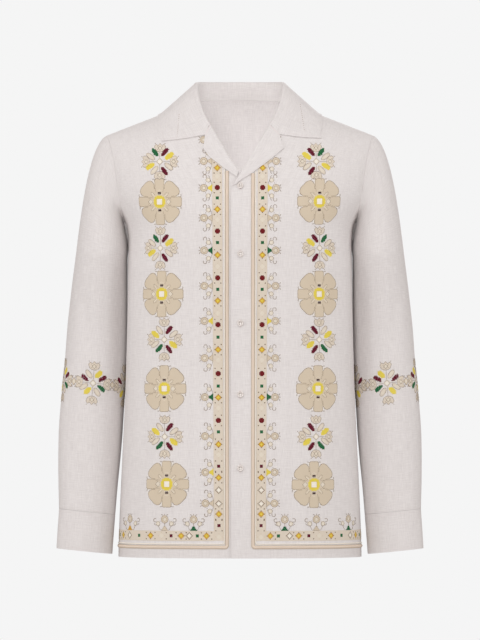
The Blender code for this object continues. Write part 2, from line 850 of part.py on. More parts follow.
def end_row_point(side, share, start):
    """Point on the collar's front end: down the gorge to the notch, then out to the point."""
    notch, point = NOTCH[side], COLLAR_POINT[side]
    if share < NOTCH_SHARE:
        corner = on_front(side, notch[0] * MM, notch[1] * MM, LAY + COLLAR_CLOTH)
        return start.lerp(corner, share / NOTCH_SHARE)
    t = (share - NOTCH_SHARE) / (1 - NOTCH_SHARE)
    across = notch[0] + (point[0] - notch[0]) * t
    sag = 1.2 * math.sin(math.pi * t)
    z = notch[1] + (point[1] - notch[1]) * t - sag
    return on_front(side, across * MM, z * MM, LAY + COLLAR_CLOTH)


def along_curve(lines, at):
    """Point on a smooth curve through matching points of a list of rows."""
    count = len(lines)
    i = min(int(at), count - 2)
    t = at - i
    p0 = lines[max(i - 1, 0)]
    p1, p2 = lines[i], lines[i + 1]
    p3 = lines[min(i + 2, count - 1)]
    return [0.5 * ((2 * b) + (c - a) * t + (2 * a - 5 * b + 4 * c - d) * t * t
                   + (3 * b - a - 3 * c + d) * t ** 3)
            for a, b, c, d in zip(p0, p1, p2, p3)]


def half_collar(side):
    """Rows of points from the centre back to one front end."""
    keys = [collar_row(side, row) for row in COLLAR] + [end_row(side)]
    lines = [key[0] for key in keys]
    lines.insert(0, [Vector((-p.x, p.y, p.z)) for p in lines[1]])
    arounds = [row.around for row in COLLAR] + [1]
    trees = fine_surfaces(side)
    rows = []
    for around in COLLAR_ROWS:
        points = along_curve(lines, straight([(a, k + 1) for k, a in enumerate(arounds)], around))
        points[0] = seam_foot(side, around)[0]
        rows.append(points)
    rolls = [points[STAND_STEPS] for points in rows]
    rolls = [Vector((-rolls[1].x, rolls[1].y, rolls[1].z))] + rolls + [rolls[-1]]
    for k, (around, points) in enumerate(zip(COLLAR_ROWS, rows)):
        radius = straight([(a, key[1]) for a, key in zip(arounds, keys)], around)
        final = straight([(a, key[2]) for a, key in zip(arounds, keys)], around)
        roll_over(points, radius, final, (rolls[k + 2] - rolls[k]).normalized())
        for j in range(ROLL_END, len(points)):
            points[j] = push_out(points[j], trees, LAY + 0.15 * MM + COLLAR_CLOTH)
    return rows


def make_collar(material):
    """Collar, turned over all round the neck from one gorge to the other."""
    right, left = half_collar(RIGHT), half_collar(LEFT)
    rows = right[::-1] + left[1:]
    normals = grid_normals(rows, -1)
    wall("collar", rows, inset(rows, normals, COLLAR_CLOTH), material)


def build():
    clear_objects()
    cloth = make_material("shirt_cloth", (0.80, 0.73, 0.71), 0.85)
    braid = make_material("braid", (0.66, 0.56, 0.38), 0.7)
    shell = make_material("button_shell", (0.85, 0.80, 0.78), 0.35)
    back = make_back(cloth)
    for side in (RIGHT, LEFT):
        front = make_front(side, cloth)
        make_edging(side, front, braid)
        make_sleeve(side, front, back, cloth)
        seat, normal = make_cuff(side, cloth)
        make_button(f"cuff_button_{SIDE_NAMES[side]}", seat, normal, shell)
        make_lapel(side, cloth)
    make_collar(cloth)
    make_front_buttons(shell)


build()
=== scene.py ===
"""Looks of the embroidered camp collar shirt: cloth, seams, cross-stitch, braid and buttons.

Each piece of cloth is a finer shell over the same surface as its CAD solid. The embroidery is laid
out on a stitch grid and carried onto that surface. Lengths in tables and charts are in
millimetres, and the places of motifs down the fronts are pixels of the photo, read one by one.
"""

import math
from collections import namedtuple

import bmesh
import bpy
import numpy as np
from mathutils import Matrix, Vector
from mathutils.bvhtree import BVHTree


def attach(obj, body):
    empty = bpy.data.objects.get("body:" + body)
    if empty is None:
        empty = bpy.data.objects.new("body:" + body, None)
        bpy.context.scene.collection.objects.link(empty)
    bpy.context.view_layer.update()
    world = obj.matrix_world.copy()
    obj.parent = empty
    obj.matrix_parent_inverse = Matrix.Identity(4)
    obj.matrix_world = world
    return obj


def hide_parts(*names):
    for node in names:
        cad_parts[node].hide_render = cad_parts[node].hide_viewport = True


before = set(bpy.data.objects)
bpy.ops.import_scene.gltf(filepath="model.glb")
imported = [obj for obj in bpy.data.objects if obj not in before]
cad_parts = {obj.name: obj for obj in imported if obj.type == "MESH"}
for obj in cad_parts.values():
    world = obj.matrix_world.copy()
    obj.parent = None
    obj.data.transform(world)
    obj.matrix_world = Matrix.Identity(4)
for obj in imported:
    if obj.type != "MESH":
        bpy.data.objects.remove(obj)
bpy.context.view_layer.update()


def table(kind, *rows):
    """Rows of numbers as a table of named values."""
    return tuple(kind(*row) for row in rows)


MM = 0.001
RIGHT = -1
LEFT = 1
SIDE_NAMES = {RIGHT: "right", LEFT: "left"}

# Cloth, seams and layers
CLOTH = 2.0 * MM
COLLAR_CLOTH = 1.4 * MM
SEAM = 0.3 * MM
LAY = 0.45 * MM

# Body
CHEST_Z = -195 * MM
CHEST_HALF = 181 * MM
RIDGE_Y = 4 * MM
SQUARE = 2.4
FRONT_ROUND = 2.2
FRONT_FULL = 2.0
BACK_ROUND = 3.0
BACK_FULL = 2.6
CREASE_REACH = 1.25
CREASE_END = 0.35

# Neck and shoulders
NECK_HALF = 70 * MM
NECK_END = NECK_HALF * 0.999
NECK_Z = 7 * MM
BACK_NECK_Z = 10 * MM
SHOULDER_SLOPE = 0.39
SHOULDER_HALF = 212 * MM
GORGE_Z = -34 * MM

# Front lap and braid, from the centre line towards each front's own side
LAP = 14 * MM
LAP_LIFT = CLOTH + LAY
LAP_FULL = 20 * MM
LAP_END = 60 * MM
LAP_COLUMNS = (-14, -9, -4, 2, 8, 13, 18)
EDGE_CLEAR = 1.5
EDGE_CLEAR_Z = -60
EDGE_CLEAR_RISE = 26
BRAID_OUTER = 18 * MM
BRAID_INNER = 23.2 * MM
BRAID_LOW_Z = -707.5 * MM
BRAID_HIGH_Z = -701.5 * MM

# Sleeves and cuffs
SLEEVE_TILT = 0.10
SLEEVE_SQUARE = 2.2
FOLD_SPREAD = 1.6
FOLD_END = 0.3
CAP_STEPS = 20
CAP_TOP_FALL = 0.35
CAP_SIDE_FALL = 1.1
CAP_HUG = 0.9
CAP_LEAN = 0.12
CAP_OUT = 8
CAP_OUT_TOP = 22
CAP_OUT_SIDE = 10
CAP_IN = 30
CAP_IN_TOP = 40
CUFF_COLUMNS = 132
CUFF_BUTTON_IN = 6
CUFF_LAP_ANGLE = 36
CUFF_LAP_START = 284
CUFF_LAP_AT = 316
CUFF_SEAT_Z = -695

# Buttons
BUTTON_RADIUS = 5.2 * MM
BUTTON_THICK = 2.2 * MM
BUTTON_X = 0.5 * MM
BUTTON_Z = (-130.5, -239, -349, -462, -579)
BUTTON_SIDES = 36
BUTTON_DISH = 0.66
# The button's four holes are flat dark marks of painted shade: how far apart, their half length, width and
# height
HOLE_APART = 1.25 * MM
HOLE_HALF = 0.7 * MM
HOLE_WIDTH = 1.2 * MM
HOLE_LIFT = 0.12 * MM
THREAD_HALF = 1.1 * MM
THREAD_WIDTH = 0.8 * MM
HOLE_STITCHES = 34
HOLE_PITCH = 0.42 * MM
HOLE_REACH = (0.2 * MM, 1.5 * MM)

# Mesh steps and looks
FRONT_COLUMNS = 34
BACK_NECK_COLUMNS = 16
BACK_SIDE_COLUMNS = 24
LOW_ROWS = tuple(-722 + 527 * k / 74 for k in range(75))
CLIMBS = tuple(math.sin(math.pi / 2 * k / 36) for k in range(37))
COLLAR_ROWS = tuple(k / 48 for k in range(49))
SLEEVE_ROWS = tuple(-240 - 6 * k for k in range(69)) + (-650,)
CUFF_ROWS = (-650, -652, -654, -664, -673, -682, -688, -695, -702, -706, -709, -711, -713)
SHOWN_CLOTH = 1.2 * MM
LAPEL_SPREAD = 14
FOLD_STEPS = 6
SHARP_ANGLE = 50
RIM_UV = ((0, 0), (0.002, 0), (0.002, 0.001), (0, 0.001))

# Rows and steps of the surfaces that are sewn onto
FRONT_SKIN_ROWS = tuple(-721 + 4 * k for k in range(173))
SLEEVE_SKIN_ROWS = tuple(-560 + 4 * k for k in range(60))
SKIN_STEPS = 90

# Seams and topstitching, and the cloth's areas in square metres
TOPSTITCH = 4 * MM
SEAM_PITCH = 3.4 * MM
FINE_PITCH = 3 * MM
STITCH_SHARE = 0.72
SEAM_STEPS = 60
HEM_SEAM = -714 * MM
ARMHOLE_STITCH = 0.35
CUFF_STITCH = 2.2 * MM
GORGE_WIDTH = 2.4 * MM
GORGE_HEIGHT = 0.12 * MM

# The photo's scale: millimetres for a pixel, the pixel of the origin and the rows of pixels
PHOTO_MM = 1.6
PHOTO_MIDDLE = 240.3
PHOTO_TOP = 105
PHOTO_ROWS = 640

# Camera, and how far the fronts stand before the origin, in metres, with its sensor in millimetres
CAMERA_FAR = 14.0
CAMERA_REACH = 50
FRONT_DEPTH = 0.1
CAMERA_SENSOR = 36

# Light from all round, the colour of the lamps, and the lamps in metres and watts
WORLD_LIGHT = 0.52
WARM_SHADE = (1, 0.945, 0.915)
COOL_LIGHT = (0.98, 1, 1.02)
Light = namedtuple("Light", "name place target size power")
LIGHTS = table(
    Light,
    ("front", (-0.5, -4.2, 0.3), (0, 0, -0.3), 1.6, 51.5),
    ("top", (0, -1.6, 3), (0, 0, -0.1), 1.6, 21),
    ("inner", (0, -0.05, -0.26), (0, 0.085, 0.0), 0.14, 0.3),
    ("side_right", (-3, -1.6, 0.2), (0, 0, -0.35), 2, 24),
    ("side_left", (3, -1.6, 0.2), (0, 0, -0.35), 2, 24),
    ("back", (0.4, 3.6, 1), (0, 0, -0.3), 2, 84),
)

# Braid and ivory cord
PLAIT_PITCH = 7.5
CORD_REACH = 1.45 * MM
CORD_RADIUS = 0.82 * MM
# Thin cords along the braid's edges, whose darker tone is painted shade
EDGE_CORD_AT = 2.35 * MM
EDGE_CORD_LIFT = 0.55 * MM
EDGE_CORD_RADIUS = 0.42 * MM
CORNER_ROUND = 3 * MM
EDGING_TOP_CLEAR = 1.5 * MM
EDGING_SIDE_CLEAR = 4 * MM
IVORY_ACROSS = 24.8 * MM
IVORY_Z = -699.4 * MM
IVORY_PITCH = 5
IVORY_REACH = 0.4 * MM
IVORY_RADIUS = 0.62 * MM

# Bands of embroidery: where they lie, how they are stitched and what goes on round the side
BAND_ACROSS = 33.3
BAND_LEAN = 0.005
BAND_PITCH = 1.65
BAND_HALF = 4
HEM_BAND_Z = -686.4
BAND_TOP_Z = -60
BAND_MIDDLE_Z = -400 * MM
BAND_HIDDEN = 5 * MM
HEM_HIDDEN = ("green", "gold", "ivory", "maroon")
HEM_HIDDEN_PITCH = 18.2

# Places of motifs, as pixels of the photo, with what stands there
BAND_ROWS = (
    168, 176.5, 187.5, 197.5, 209, 220, 231.5, 243, 255.5, 266.5, 278, 289.5, 301, 313, 325, 337.5, 349.5,
    360.5, 374, 385.5, 397.5, 408, 420, 431.5, 444, 455, 466, 477, 489.5, 503, 514, 525.5, 536.5,
)
BAND_COLOURS = ("gold", "ivory", "red", "green") * 6 + (
    "gold", "ivory", "maroon", "gold", "open", "open", "gold", "maroon", "ivory")
HEM_COLUMNS = {
    RIGHT: (207.3, 198, 190, 181.7, 171.6, 161.4, 150.5, 139.5, 130, 123.6),
    LEFT: (270.7, 279, 289.5, 299.3, 309, 319.4, 331.4, 341.7, 351, 356.4),
}
HEM_COLOURS = ("gold", "green", "open", "gold", "maroon", "ivory", "gold", "green", "open", "yellow")
SPRIGS = (
    (139.5, "beige"), (161, "beige"), (188, "yellow"), (218, "beige"), (250.5, "green"), (286, "beige"),
    (321, "yellow"), (358, "beige"), (397, "green"), (436, "beige"), (472, "yellow"), (503, "beige"),
)
HEM_SPRIGS = {
    RIGHT: ((130, "gold"), (165, "beige"), (194, "green")),
    LEFT: ((349, "outer_green"), (316.7, "beige"), (285, "green")),
}
COLUMN_MOTIFS = ("star_top", "rosette", "star_a", "rosette", "star_b", "rosette", "star_b", "rosette")
COLUMN = {
    RIGHT: ((159.9, 161.4), (159.7, 201.7), (160.6, 248), (161.9, 294),
            (164.5, 339.6), (164.5, 388.6), (165, 436.7), (167, 484)),
    LEFT: ((316.7, 161.2), (320, 201.3), (320, 248), (319.6, 294),
           (319.6, 339.6), (318.4, 388.6), (316.3, 436.7), (314.3, 484.5)),
}
SLEEVE_BAND_ROW = 383

# Stars round a sleeve, and the colours of petals clockwise from the top right of a star's chart
SLEEVE_STARS = 5
SLEEVE_STARS_START = -1 * MM
STAR_A = ("maroon", "yellow", "cream", "maroon", "cream", "yellow", "cream", "green")
STAR_B = ("maroon", "cream", "yellow", "maroon", "green", "cream", "yellow", "cream")
SLEEVE_STAR = ("yellow", "maroon", "green", "cream", "yellow", "cream", "maroon", "cream")

# Drawn-thread lines down the collar, and what each of their steps holds: a flat tan mark in the middle,
# painted shade where the hole is, and a bar of thread each side
HEMSTITCH_PITCH = 3.2
HEMSTITCH_BARS_AND_HOLE_SHADE = ((0, 0.5, 0.9, 0.1, "tan"), (-0.9, 1.5, 0.5, 0.3, "cloth"), (0.9, 1.5, 0.5, 0.3, "cloth"))
HEMSTITCH = (
    ((-97.3, -16), (-98.8, -38), (-100.3, -54)),
    ((96.2, 0), (99.5, -20.8), (102.8, -44)),
)

Section = namedtuple("Section", "z half_width front back side_y")
BODY = table(
    Section,
    (-722, 194.5, 131, 128, 0),
    (-660, 192.5, 126, 130, -4),
    (-600, 189.8, 120, 130, -8),
    (-500, 185.0, 111, 128, -12),
    (-420, 182.0, 106, 126, -14),
    (-330, 179.8, 105, 127, -14),
    (-260, 179.2, 109, 126, -10),
    (-195, 181.0, 116, 121, -2),
    (-150, 204.0, 113, 119, 0),
    (-120, 213.5, 110, 118, 0),
    (-85, 221.0, 108, 116, 0),
    (-45, 228.0, 106, 114, 0),
    (35, 240.0, 104, 112, 0),
)

Edge = namedtuple("Edge", "z across")
FRONT_EDGE = table(
    Edge,
    (-136, -14),
    (-113.5, 0),
    (-74.5, 24.3),
    (-34, 48),
    (-20, 57),
    (-7, 64.5),
    (7, 70),
)
ARMHOLE = table(
    Edge,
    (-195, 181),
    (-180, 186),
    (-150, 192.5),
    (-120, 197),
    (-90, 201.5),
    (-65, 207),
    (-48.4, 212),
)

Station = namedtuple("Station", "z outer inner centre_y half_depth")
# Just below the armhole the sleeve lies a little nearer to the body than its solid, as in the photo
SLEEVE = table(
    Station,
    (-650, 289.3, 199.4, -9, 36),
    (-605, 290.5, 195.7, -2, 42),
    (-560, 290.8, 191.3, 6, 47),
    (-520, 289.8, 188.0, 12, 51),
    (-470, 286.0, 185.0, 18, 54),
    (-420, 281.0, 182.4, 22, 56),
    (-360, 276.6, 180.6, 24, 59),
    (-300, 270.0, 180.0, 20, 63),
    (-240, 262.3, 179.9, 12, 66),
)
CUFF = table(
    Station,
    (-713, 293.3, 204.0, -15, 33),
    (-695, 292.3, 202.8, -13.5, 34),
    (-670, 290.6, 200.9, -11, 35),
    (-650, 289.3, 199.4, -9, 36),
)

Crease = namedtuple("Crease", "x0 z0 x1 z1 width depth")
FRONT_CREASES = table(
    Crease,
    (176, -190, 150, -340, 22, 2.6),
    (150, -420, 166, -640, 26, 2.2),
    (70, -560, 84, -722, 26, 1.4),
)
BACK_CREASES = table(
    Crease,
    (128, -110, 120, -330, 26, 3.2),
    (60, -330, 78, -600, 34, 2.6),
    (140, -470, 150, -722, 30, 3.0),
    (20, -520, 26, -722, 30, 2.4),
)

SleeveFold = namedtuple("SleeveFold", "angle z_top z_low turn width depth")
SLEEVE_FOLDS = table(
    SleeveFold,
    (132, -235, -500, 10, 17, 3.4),
    (52, -280, -430, 36, 15, 2.2),
    (225, -330, -520, -20, 20, 4.0),
    (290, -240, -420, 18, 20, 2.8),
    (75, -560, -646, -8, 16, 1.6),
)

Neck = namedtuple("Neck", "around roll_x roll_y roll_z edge_x edge_z behind")
COLLAR = table(
    Neck,
    (0.00, 0.0, 56.5, 35.5, 0, -26, 1),
    (0.15, 31.0, 54.0, 35.5, 46, -26, 1),
    (0.30, 54.0, 41.0, 35.0, 86, -25, 1),
    (0.42, 64.5, 20.0, 34.0, 115, -20, 1),
    (0.50, 67.0, 1.0, 32.0, 129, -15.5, 0),
    (0.60, 67.0, -17.0, 24.5, 131, -25, 0),
    (0.70, 65.0, -31.0, 12.0, 130.5, -34, 0),
    (0.80, 61.5, -43.0, -1.0, 129, -42, 0),
    (0.90, 55.6, -56.0, -17.0, 127, -50, 0),
)
COLLAR_POINT = {RIGHT: (124.5, -59.5), LEFT: (130, -55)}
NOTCH = {RIGHT: (55.2, -49.6), LEFT: (62.2, -48.8)}
NOTCH_SHARE = 0.2
FALL_SHARES = (0.05, 0.1, 0.15, 0.2, 0.27, 0.34, 0.41, 0.48, 0.56, 0.64, 0.72, 0.8, 0.87, 0.94, 1)
ROLL_RADIUS = 3.2 * MM
ROLL_END_RADIUS = 2.4 * MM
STAND_STEPS = 2
ROLL_END = 12
STAND_DROP = 2.2 * MM
SEAM_BEND = 1.6
END_ANGLE = 0.19
STAND_CLEAR = SEAM + 0.1 * MM + COLLAR_CLOTH
FALL_CLEAR = LAY + 0.15 * MM + COLLAR_CLOTH
PUSH_REACH = 2 * MM

Revers = namedtuple("Revers", "roll_z edge_across edge_z")
LAPELS = {
    RIGHT: table(
        Revers,
        (-109.5, 5.2, -116.7),
        (-98, 23.5, -104),
        (-90, 33.4, -96.5),
        (-81, 49.3, -84.2),
        (-71, 58.4, -71.2),
        (-52, 56.7, -60),
        (-35.4, 55.4, -50.3),
    ),
    LEFT: table(
        Revers,
        (-129.5, -7.6, -129),
        (-124, 1.1, -122),
        (-113, 19, -110.9),
        (-100, 40, -95.2),
        (-86, 58.4, -80.5),
        (-74, 69.4, -71.2),
        (-54, 65.6, -59.5),
        (-35.4, 62.6, -49.5),
    ),
}


def clamp(value, low=0.0, high=1.0):
    return min(max(value, low), high)


def smooth(value):
    """Soft step from 0 to 1."""
    t = clamp(value)
    return t * t * (3 - 2 * t)


def bell(distance):
    """Soft bump, 1 at the middle and 0 from one unit away."""
    return 1 - smooth(abs(distance))


def read(rows, at):
    """Row of a table at any value of its first column, on a smooth curve through its rows."""
    order = rows if rows[0][0] < rows[-1][0] else rows[::-1]
    at = clamp(at, order[0][0], order[-1][0])
    i = max(k for k in range(len(order) - 1) if order[k][0] <= at)
    span = order[i + 1][0] - order[i][0]
    t = (at - order[i][0]) / span

    def slope(k, column):
        low = order[max(k - 1, 0)]
        high = order[min(k + 1, len(order) - 1)]
        return (high[column] - low[column]) / (high[0] - low[0])

    def curve(column):
        start, end = order[i][column], order[i + 1][column]
        lead = (t ** 3 - 2 * t ** 2 + t) * span * slope(i, column)
        trail = (t ** 3 - t ** 2) * span * slope(i + 1, column)
        blend = 3 * t ** 2 - 2 * t ** 3
        return start + (end - start) * blend + lead + trail

    return type(order[0])(*(curve(column) for column in range(len(order[0]))))


def straight(rows, at):
    """Second column of a table, on straight lines between its rows."""
    if at <= rows[0][0]:
        return rows[0][1]
    for low, high in zip(rows, rows[1:]):
        if at <= high[0]:
            return low[1] + (high[1] - low[1]) * (at - low[0]) / (high[0] - low[0])
    return rows[-1][1]


def ridge_z(x):
    """Height of the shoulder line, carried on across the neck as a low arch."""
    x = abs(x)
    if x >= NECK_HALF:
        return NECK_Z - SHOULDER_SLOPE * (x - NECK_HALF)
    return NECK_Z + SHOULDER_SLOPE * NECK_HALF / 2 * (1 - (x / NECK_HALF) ** 2)


def back_top_z(x):
    """Height of the back's upper edge: the neck seam, then the shoulder line."""
    if abs(x) >= NECK_HALF:
        return ridge_z(x)
    return BACK_NECK_Z - (BACK_NECK_Z - NECK_Z) * (x / NECK_HALF) ** 2


def section_share(x, half_width):
    """Share of the full depth left at x in a body section with rounded corners."""
    return max(0.0, 1 - (abs(x) / half_width) ** SQUARE) ** (1 / SQUARE)


def crease_depth(creases, x, z):
    """How far the soft creases draw the cloth in at a place."""
    total = 0.0
    for row in creases:
        run_x, run_z = (row.x1 - row.x0) * MM, (row.z1 - row.z0) * MM
        off_x, off_z = abs(x) - row.x0 * MM, z - row.z0 * MM
        along = (off_x * run_x + off_z * run_z) / (run_x ** 2 + run_z ** 2)
        across = (off_x * run_z - off_z * run_x) / math.hypot(run_x, run_z)
        ends = smooth(along / CREASE_END) * smooth((CREASE_REACH - along) / CREASE_END)
        total += row.depth * MM * bell(across / (row.width * MM)) * ends
    return total


def climb_at(x, z):
    """How far z has climbed from the chest to the shoulder line, from 0 to 1."""
    return clamp((z - CHEST_Z) / (ridge_z(x) - CHEST_Z))


Panel = namedtuple("Panel", "way round full creases")
FRONT = Panel(-1, FRONT_ROUND, FRONT_FULL, FRONT_CREASES)
BACK = Panel(1, BACK_ROUND, BACK_FULL, BACK_CREASES)


def panel_y(panel, x, z):
    """Depth of the outer face of the front or the back."""
    row = read(BODY, z / MM)
    spread = section_share(x / MM, row.half_width)
    depth = row.back if panel is BACK else row.front
    full = (row.side_y + panel.way * depth * spread) * MM
    share = (1 - climb_at(x, z) ** panel.round) ** (1 / panel.full)
    return RIDGE_Y + (full - RIDGE_Y) * share - panel.way * crease_depth(panel.creases, x, z) * spread


def back_point(x, z):
    """Point on the back's outer face."""
    return Vector((x, panel_y(BACK, x, z), z))


def front_point(side, across, z):
    """Point on one front, from its distance to the centre line. The left front laps over."""
    x = side * across
    y = panel_y(FRONT, x, z)
    if side == LEFT:
        y -= LAP_LIFT * smooth((LAP_END - across) / (LAP_END - LAP_FULL))
    return Vector((x, y, z))


def front_normal(side, across, z):
    """Direction out of one front."""
    step = 2 * MM
    run = front_point(side, across + step, z) - front_point(side, across - step, z)
    rise = front_point(side, across, z + step) - front_point(side, across, z - step)
    return rise.cross(run).normalized() * side * -1


def on_front(side, across, z, lift):
    """Point lifted off one front."""
    return front_point(side, across, z) + front_normal(side, across, z) * lift


def front_edge(z):
    """Distance from the centre line to a front's inner edge: lap, roll line, then neck seam."""
    clear = EDGE_CLEAR * smooth((z / MM - EDGE_CLEAR_Z) / EDGE_CLEAR_RISE)
    return (straight(FRONT_EDGE, z / MM) + clear) * MM


def armhole_edge(z):
    """Distance from the centre line to the armhole seam."""
    return read(ARMHOLE, z / MM).across * MM


def meet(edge, climb):
    """Where a row at one share of the climb meets an edge that is given by height."""
    low, high = -LAP * 2, SHOULDER_HALF * 1.1
    for _ in range(40):
        middle = (low + high) / 2
        z = CHEST_Z + climb * (ridge_z(middle) - CHEST_Z)
        if middle < edge(z):
            low = middle
        else:
            high = middle
    return (low + high) / 2


def toward_side(k, steps):
    """Share of the half width reached at one step of an even turn from the middle to the side."""
    return math.sin(math.pi / 2 * k / steps) ** (2 / SQUARE)


def side_spread(columns):
    """Column shares from the braid to the side, closer together where the body turns."""
    start = math.asin((BRAID_INNER / CHEST_HALF) ** (SQUARE / 2))
    turns = [start + (math.pi / 2 - start) * k / columns for k in range(columns + 1)]
    reach = [math.sin(turn) ** (2 / SQUARE) for turn in turns]
    return [(r - reach[0]) / (1 - reach[0]) for r in reach]


def front_grid(side, columns, low_rows, climbs):
    """Rows of points over one front, from hem to shoulder."""
    spread = side_spread(columns)
    first = [across * MM for across in LAP_COLUMNS]
    grid = []
    for z in low_rows:
        reach = read(BODY, z).half_width * MM
        across = first + [BRAID_INNER + (reach - BRAID_INNER) * share for share in spread]
        row = [front_point(side, a, z * MM) for a in across]
        row[-1].y -= SEAM / 2
        grid.append(row)
    shares = [(a + LAP) / (across[-1] + LAP) for a in across]
    for climb in climbs[1:]:
        near, far = meet(front_edge, climb), meet(armhole_edge, climb)
        row = []
        for share in shares:
            a = near + (far - near) * share
            row.append(front_point(side, a, CHEST_Z + climb * (ridge_z(a) - CHEST_Z)))
        grid.append(row)
    for point in grid[-1]:
        point.y = RIDGE_Y - SEAM / 2
    return grid


def back_shares(neck_columns, side_columns):
    """Column shares across the back, with one column on each end of the neck seam."""
    neck = NECK_HALF / SHOULDER_HALF
    shares = [neck * math.sin(math.pi / 2 * k / neck_columns) for k in range(neck_columns + 1)]
    start = math.asin(neck ** (SQUARE / 2))
    for k in range(1, side_columns + 1):
        turn = start + (math.pi / 2 - start) * k / side_columns
        shares.append(math.sin(turn) ** (2 / SQUARE))
    return [-share for share in shares[:0:-1]] + shares


def back_grid(neck_columns, side_columns, low_rows, climbs):
    """Rows of points over the back, from hem to shoulder."""
    shares = back_shares(neck_columns, side_columns)
    grid = []
    for z in low_rows:
        reach = read(BODY, z).half_width * MM
        row = [back_point(s * reach, z * MM) for s in shares]
        for point in (row[0], row[-1]):
            point.y += SEAM / 2
        grid.append(row)
    for climb in climbs[1:]:
        reach = meet(armhole_edge, climb)
        row = []
        for share in shares:
            x = share * reach
            z = CHEST_Z + climb * (back_top_z(x) - CHEST_Z)
            row.append(back_point(x, z))
        grid.append(row)
    for point in grid[-1]:
        if abs(point.x) >= NECK_END:
            point.y = RIDGE_Y + SEAM / 2
    return grid


def grid_normals(grid, flip=1, ring=False):
    """Unit normals of a grid of points."""
    rows, columns = len(grid), len(grid[0])
    normals = []
    for i in range(rows):
        line = []
        for j in range(columns):
            up = grid[min(i + 1, rows - 1)][j] - grid[max(i - 1, 0)][j]
            if ring:
                along = grid[i][(j + 1) % columns] - grid[i][j - 1]
            else:
                along = grid[i][min(j + 1, columns - 1)] - grid[i][max(j - 1, 0)]
            line.append(along.cross(up).normalized() * flip)
        normals.append(line)
    return normals


def inset(grid, normals, depth):
    """Grid moved in along its normals."""
    return [[p - n * depth for p, n in zip(row, line)] for row, line in zip(grid, normals)]


def armhole_ring(side, front, back):
    """Seam points and normals round an armhole: shoulder, front, underarm, back."""
    chest_row = len(LOW_ROWS) - 1
    back_column = 0 if side == RIGHT else -1
    front_part = [(front[0][i][-1], front[1][i][-1]) for i in range(chest_row, len(front[0]))]
    back_part = [(back[0][i][back_column], back[1][i][back_column])
                 for i in range(chest_row, len(back[0]))]
    ring = front_part[::-1] + back_part[1:-1]
    points = [pair[0].copy() for pair in ring]
    normals = [pair[1].copy() for pair in ring]
    points[0].y = RIDGE_Y
    return points, normals


def sleeve_ring(side, station, angles):
    """Ring of points round a sleeve: outside, front, inside, back."""
    centre = (station.outer + station.inner) / 2
    half = (station.outer - station.inner) / 2
    ring = []
    for angle in angles:
        turn = math.radians(angle)
        c, s = math.cos(turn), math.sin(turn)
        round_off = (abs(c) ** SLEEVE_SQUARE + abs(s) ** SLEEVE_SQUARE) ** (-1 / SLEEVE_SQUARE)
        out, forward = half * c * round_off, station.half_depth * s * round_off
        depth = sleeve_fold(angle, station.z)
        length = math.hypot(out, forward)
        out, forward = out * (1 - depth / length), forward * (1 - depth / length)
        ring.append(Vector((side * (centre + out), station.centre_y - forward,
                            station.z + SLEEVE_TILT * out)) * MM)
    return ring


def sleeve_fold(angle, z):
    """How far the soft folds draw a sleeve in."""
    total = 0.0
    for row in SLEEVE_FOLDS:
        along = (row.z_top - z) / (row.z_top - row.z_low)
        middle = row.angle + row.turn * along
        away = (angle - middle + 180) % 360 - 180
        ends = smooth(along / FOLD_END) * smooth((1 - along) / FOLD_END)
        total += row.depth * bell(away / (row.width * FOLD_SPREAD)) * ends
    return total


def cap_leads(side, points, normals):
    """Directions and lengths in which the sleeve's cloth leaves the armhole seam."""
    count = len(points)
    leads = []
    for i, normal in enumerate(normals):
        along = points[(i + 1) % count] - points[i - 1]
        away = along.cross(normal).normalized() * -side
        turn = 2 * math.pi * i / count
        top, flank = (1 + math.cos(turn)) / 2, abs(math.sin(turn))
        fall = CAP_TOP_FALL * top + CAP_SIDE_FALL * flank
        hug = 1 - CAP_HUG * max(0.0, -math.cos(turn)) ** 2
        lead = (away + Vector((side * hug, 0, -fall))).normalized()
        leads.append((away, lead, (CAP_OUT + CAP_OUT_TOP * top + CAP_OUT_SIDE * flank) * MM,
                      (CAP_IN + CAP_IN_TOP * top) * MM))
    return leads


def cap_rings(side, points, normals, first_ring):
    """Rings from the armhole seam, over the sleeve cap, to the first full ring."""
    rings = []
    leads = cap_leads(side, points, normals)
    for k in range(CAP_STEPS):
        t = k / CAP_STEPS
        ring = []
        for i, (away, lead, out_length, in_length) in enumerate(leads):
            start, end = points[i] + away * SEAM, first_ring[i]
            one = start + lead * out_length
            two = end + Vector((-side * CAP_LEAN, 0, 1)).normalized() * in_length
            ring.append(start * (1 - t) ** 3 + one * 3 * t * (1 - t) ** 2
                        + two * 3 * t ** 2 * (1 - t) + end * t ** 3)
        rings.append(ring)
    return rings


def lie_in_cuff_plane(side, normals):
    """Turn normals into the slanted plane of the cuff seam, so that both rims face each other."""
    upright = Vector((-side * SLEEVE_TILT, 0, 1)).normalized()
    for normal in normals:
        normal -= upright * normal.dot(upright)
        normal.normalize()


def lapel_line(side):
    """Outer edge of a lapel, as heights by distance from the centre line."""
    rows = [row for row in LAPELS[side] if row.edge_across <= 50]
    return [(row.edge_across, row.edge_z) for row in rows]


def refine(rows):
    """Table rows with one more row between each pair."""
    result = []
    for low, high in zip(rows, rows[1:]):
        result += [low, type(low)(*((a + b) / 2 for a, b in zip(low, high)))]
    return result + [rows[-1]]


def fine_surfaces(side):
    """Nearest-point lookup over one front and the back."""
    low_rows = [-250 + 11 * k for k in range(6)]
    climbs = [math.sin(math.pi / 2 * k / 24) for k in range(25)]
    trees = []
    for grid, flip in ((front_grid(side, 22, low_rows, climbs), side),
                       (back_grid(10, 20, low_rows, climbs), -1)):
        columns = len(grid[0])
        points = [p for row in grid for p in row]
        quads = []
        for i in range(len(grid) - 1):
            for j in range(columns - 1):
                a = i * columns + j
                quad = (a, a + 1, a + columns + 1, a + columns)
                quads.append(quad if flip > 0 else quad[::-1])
        trees.append(BVHTree.FromPolygons(points, quads))
    return trees


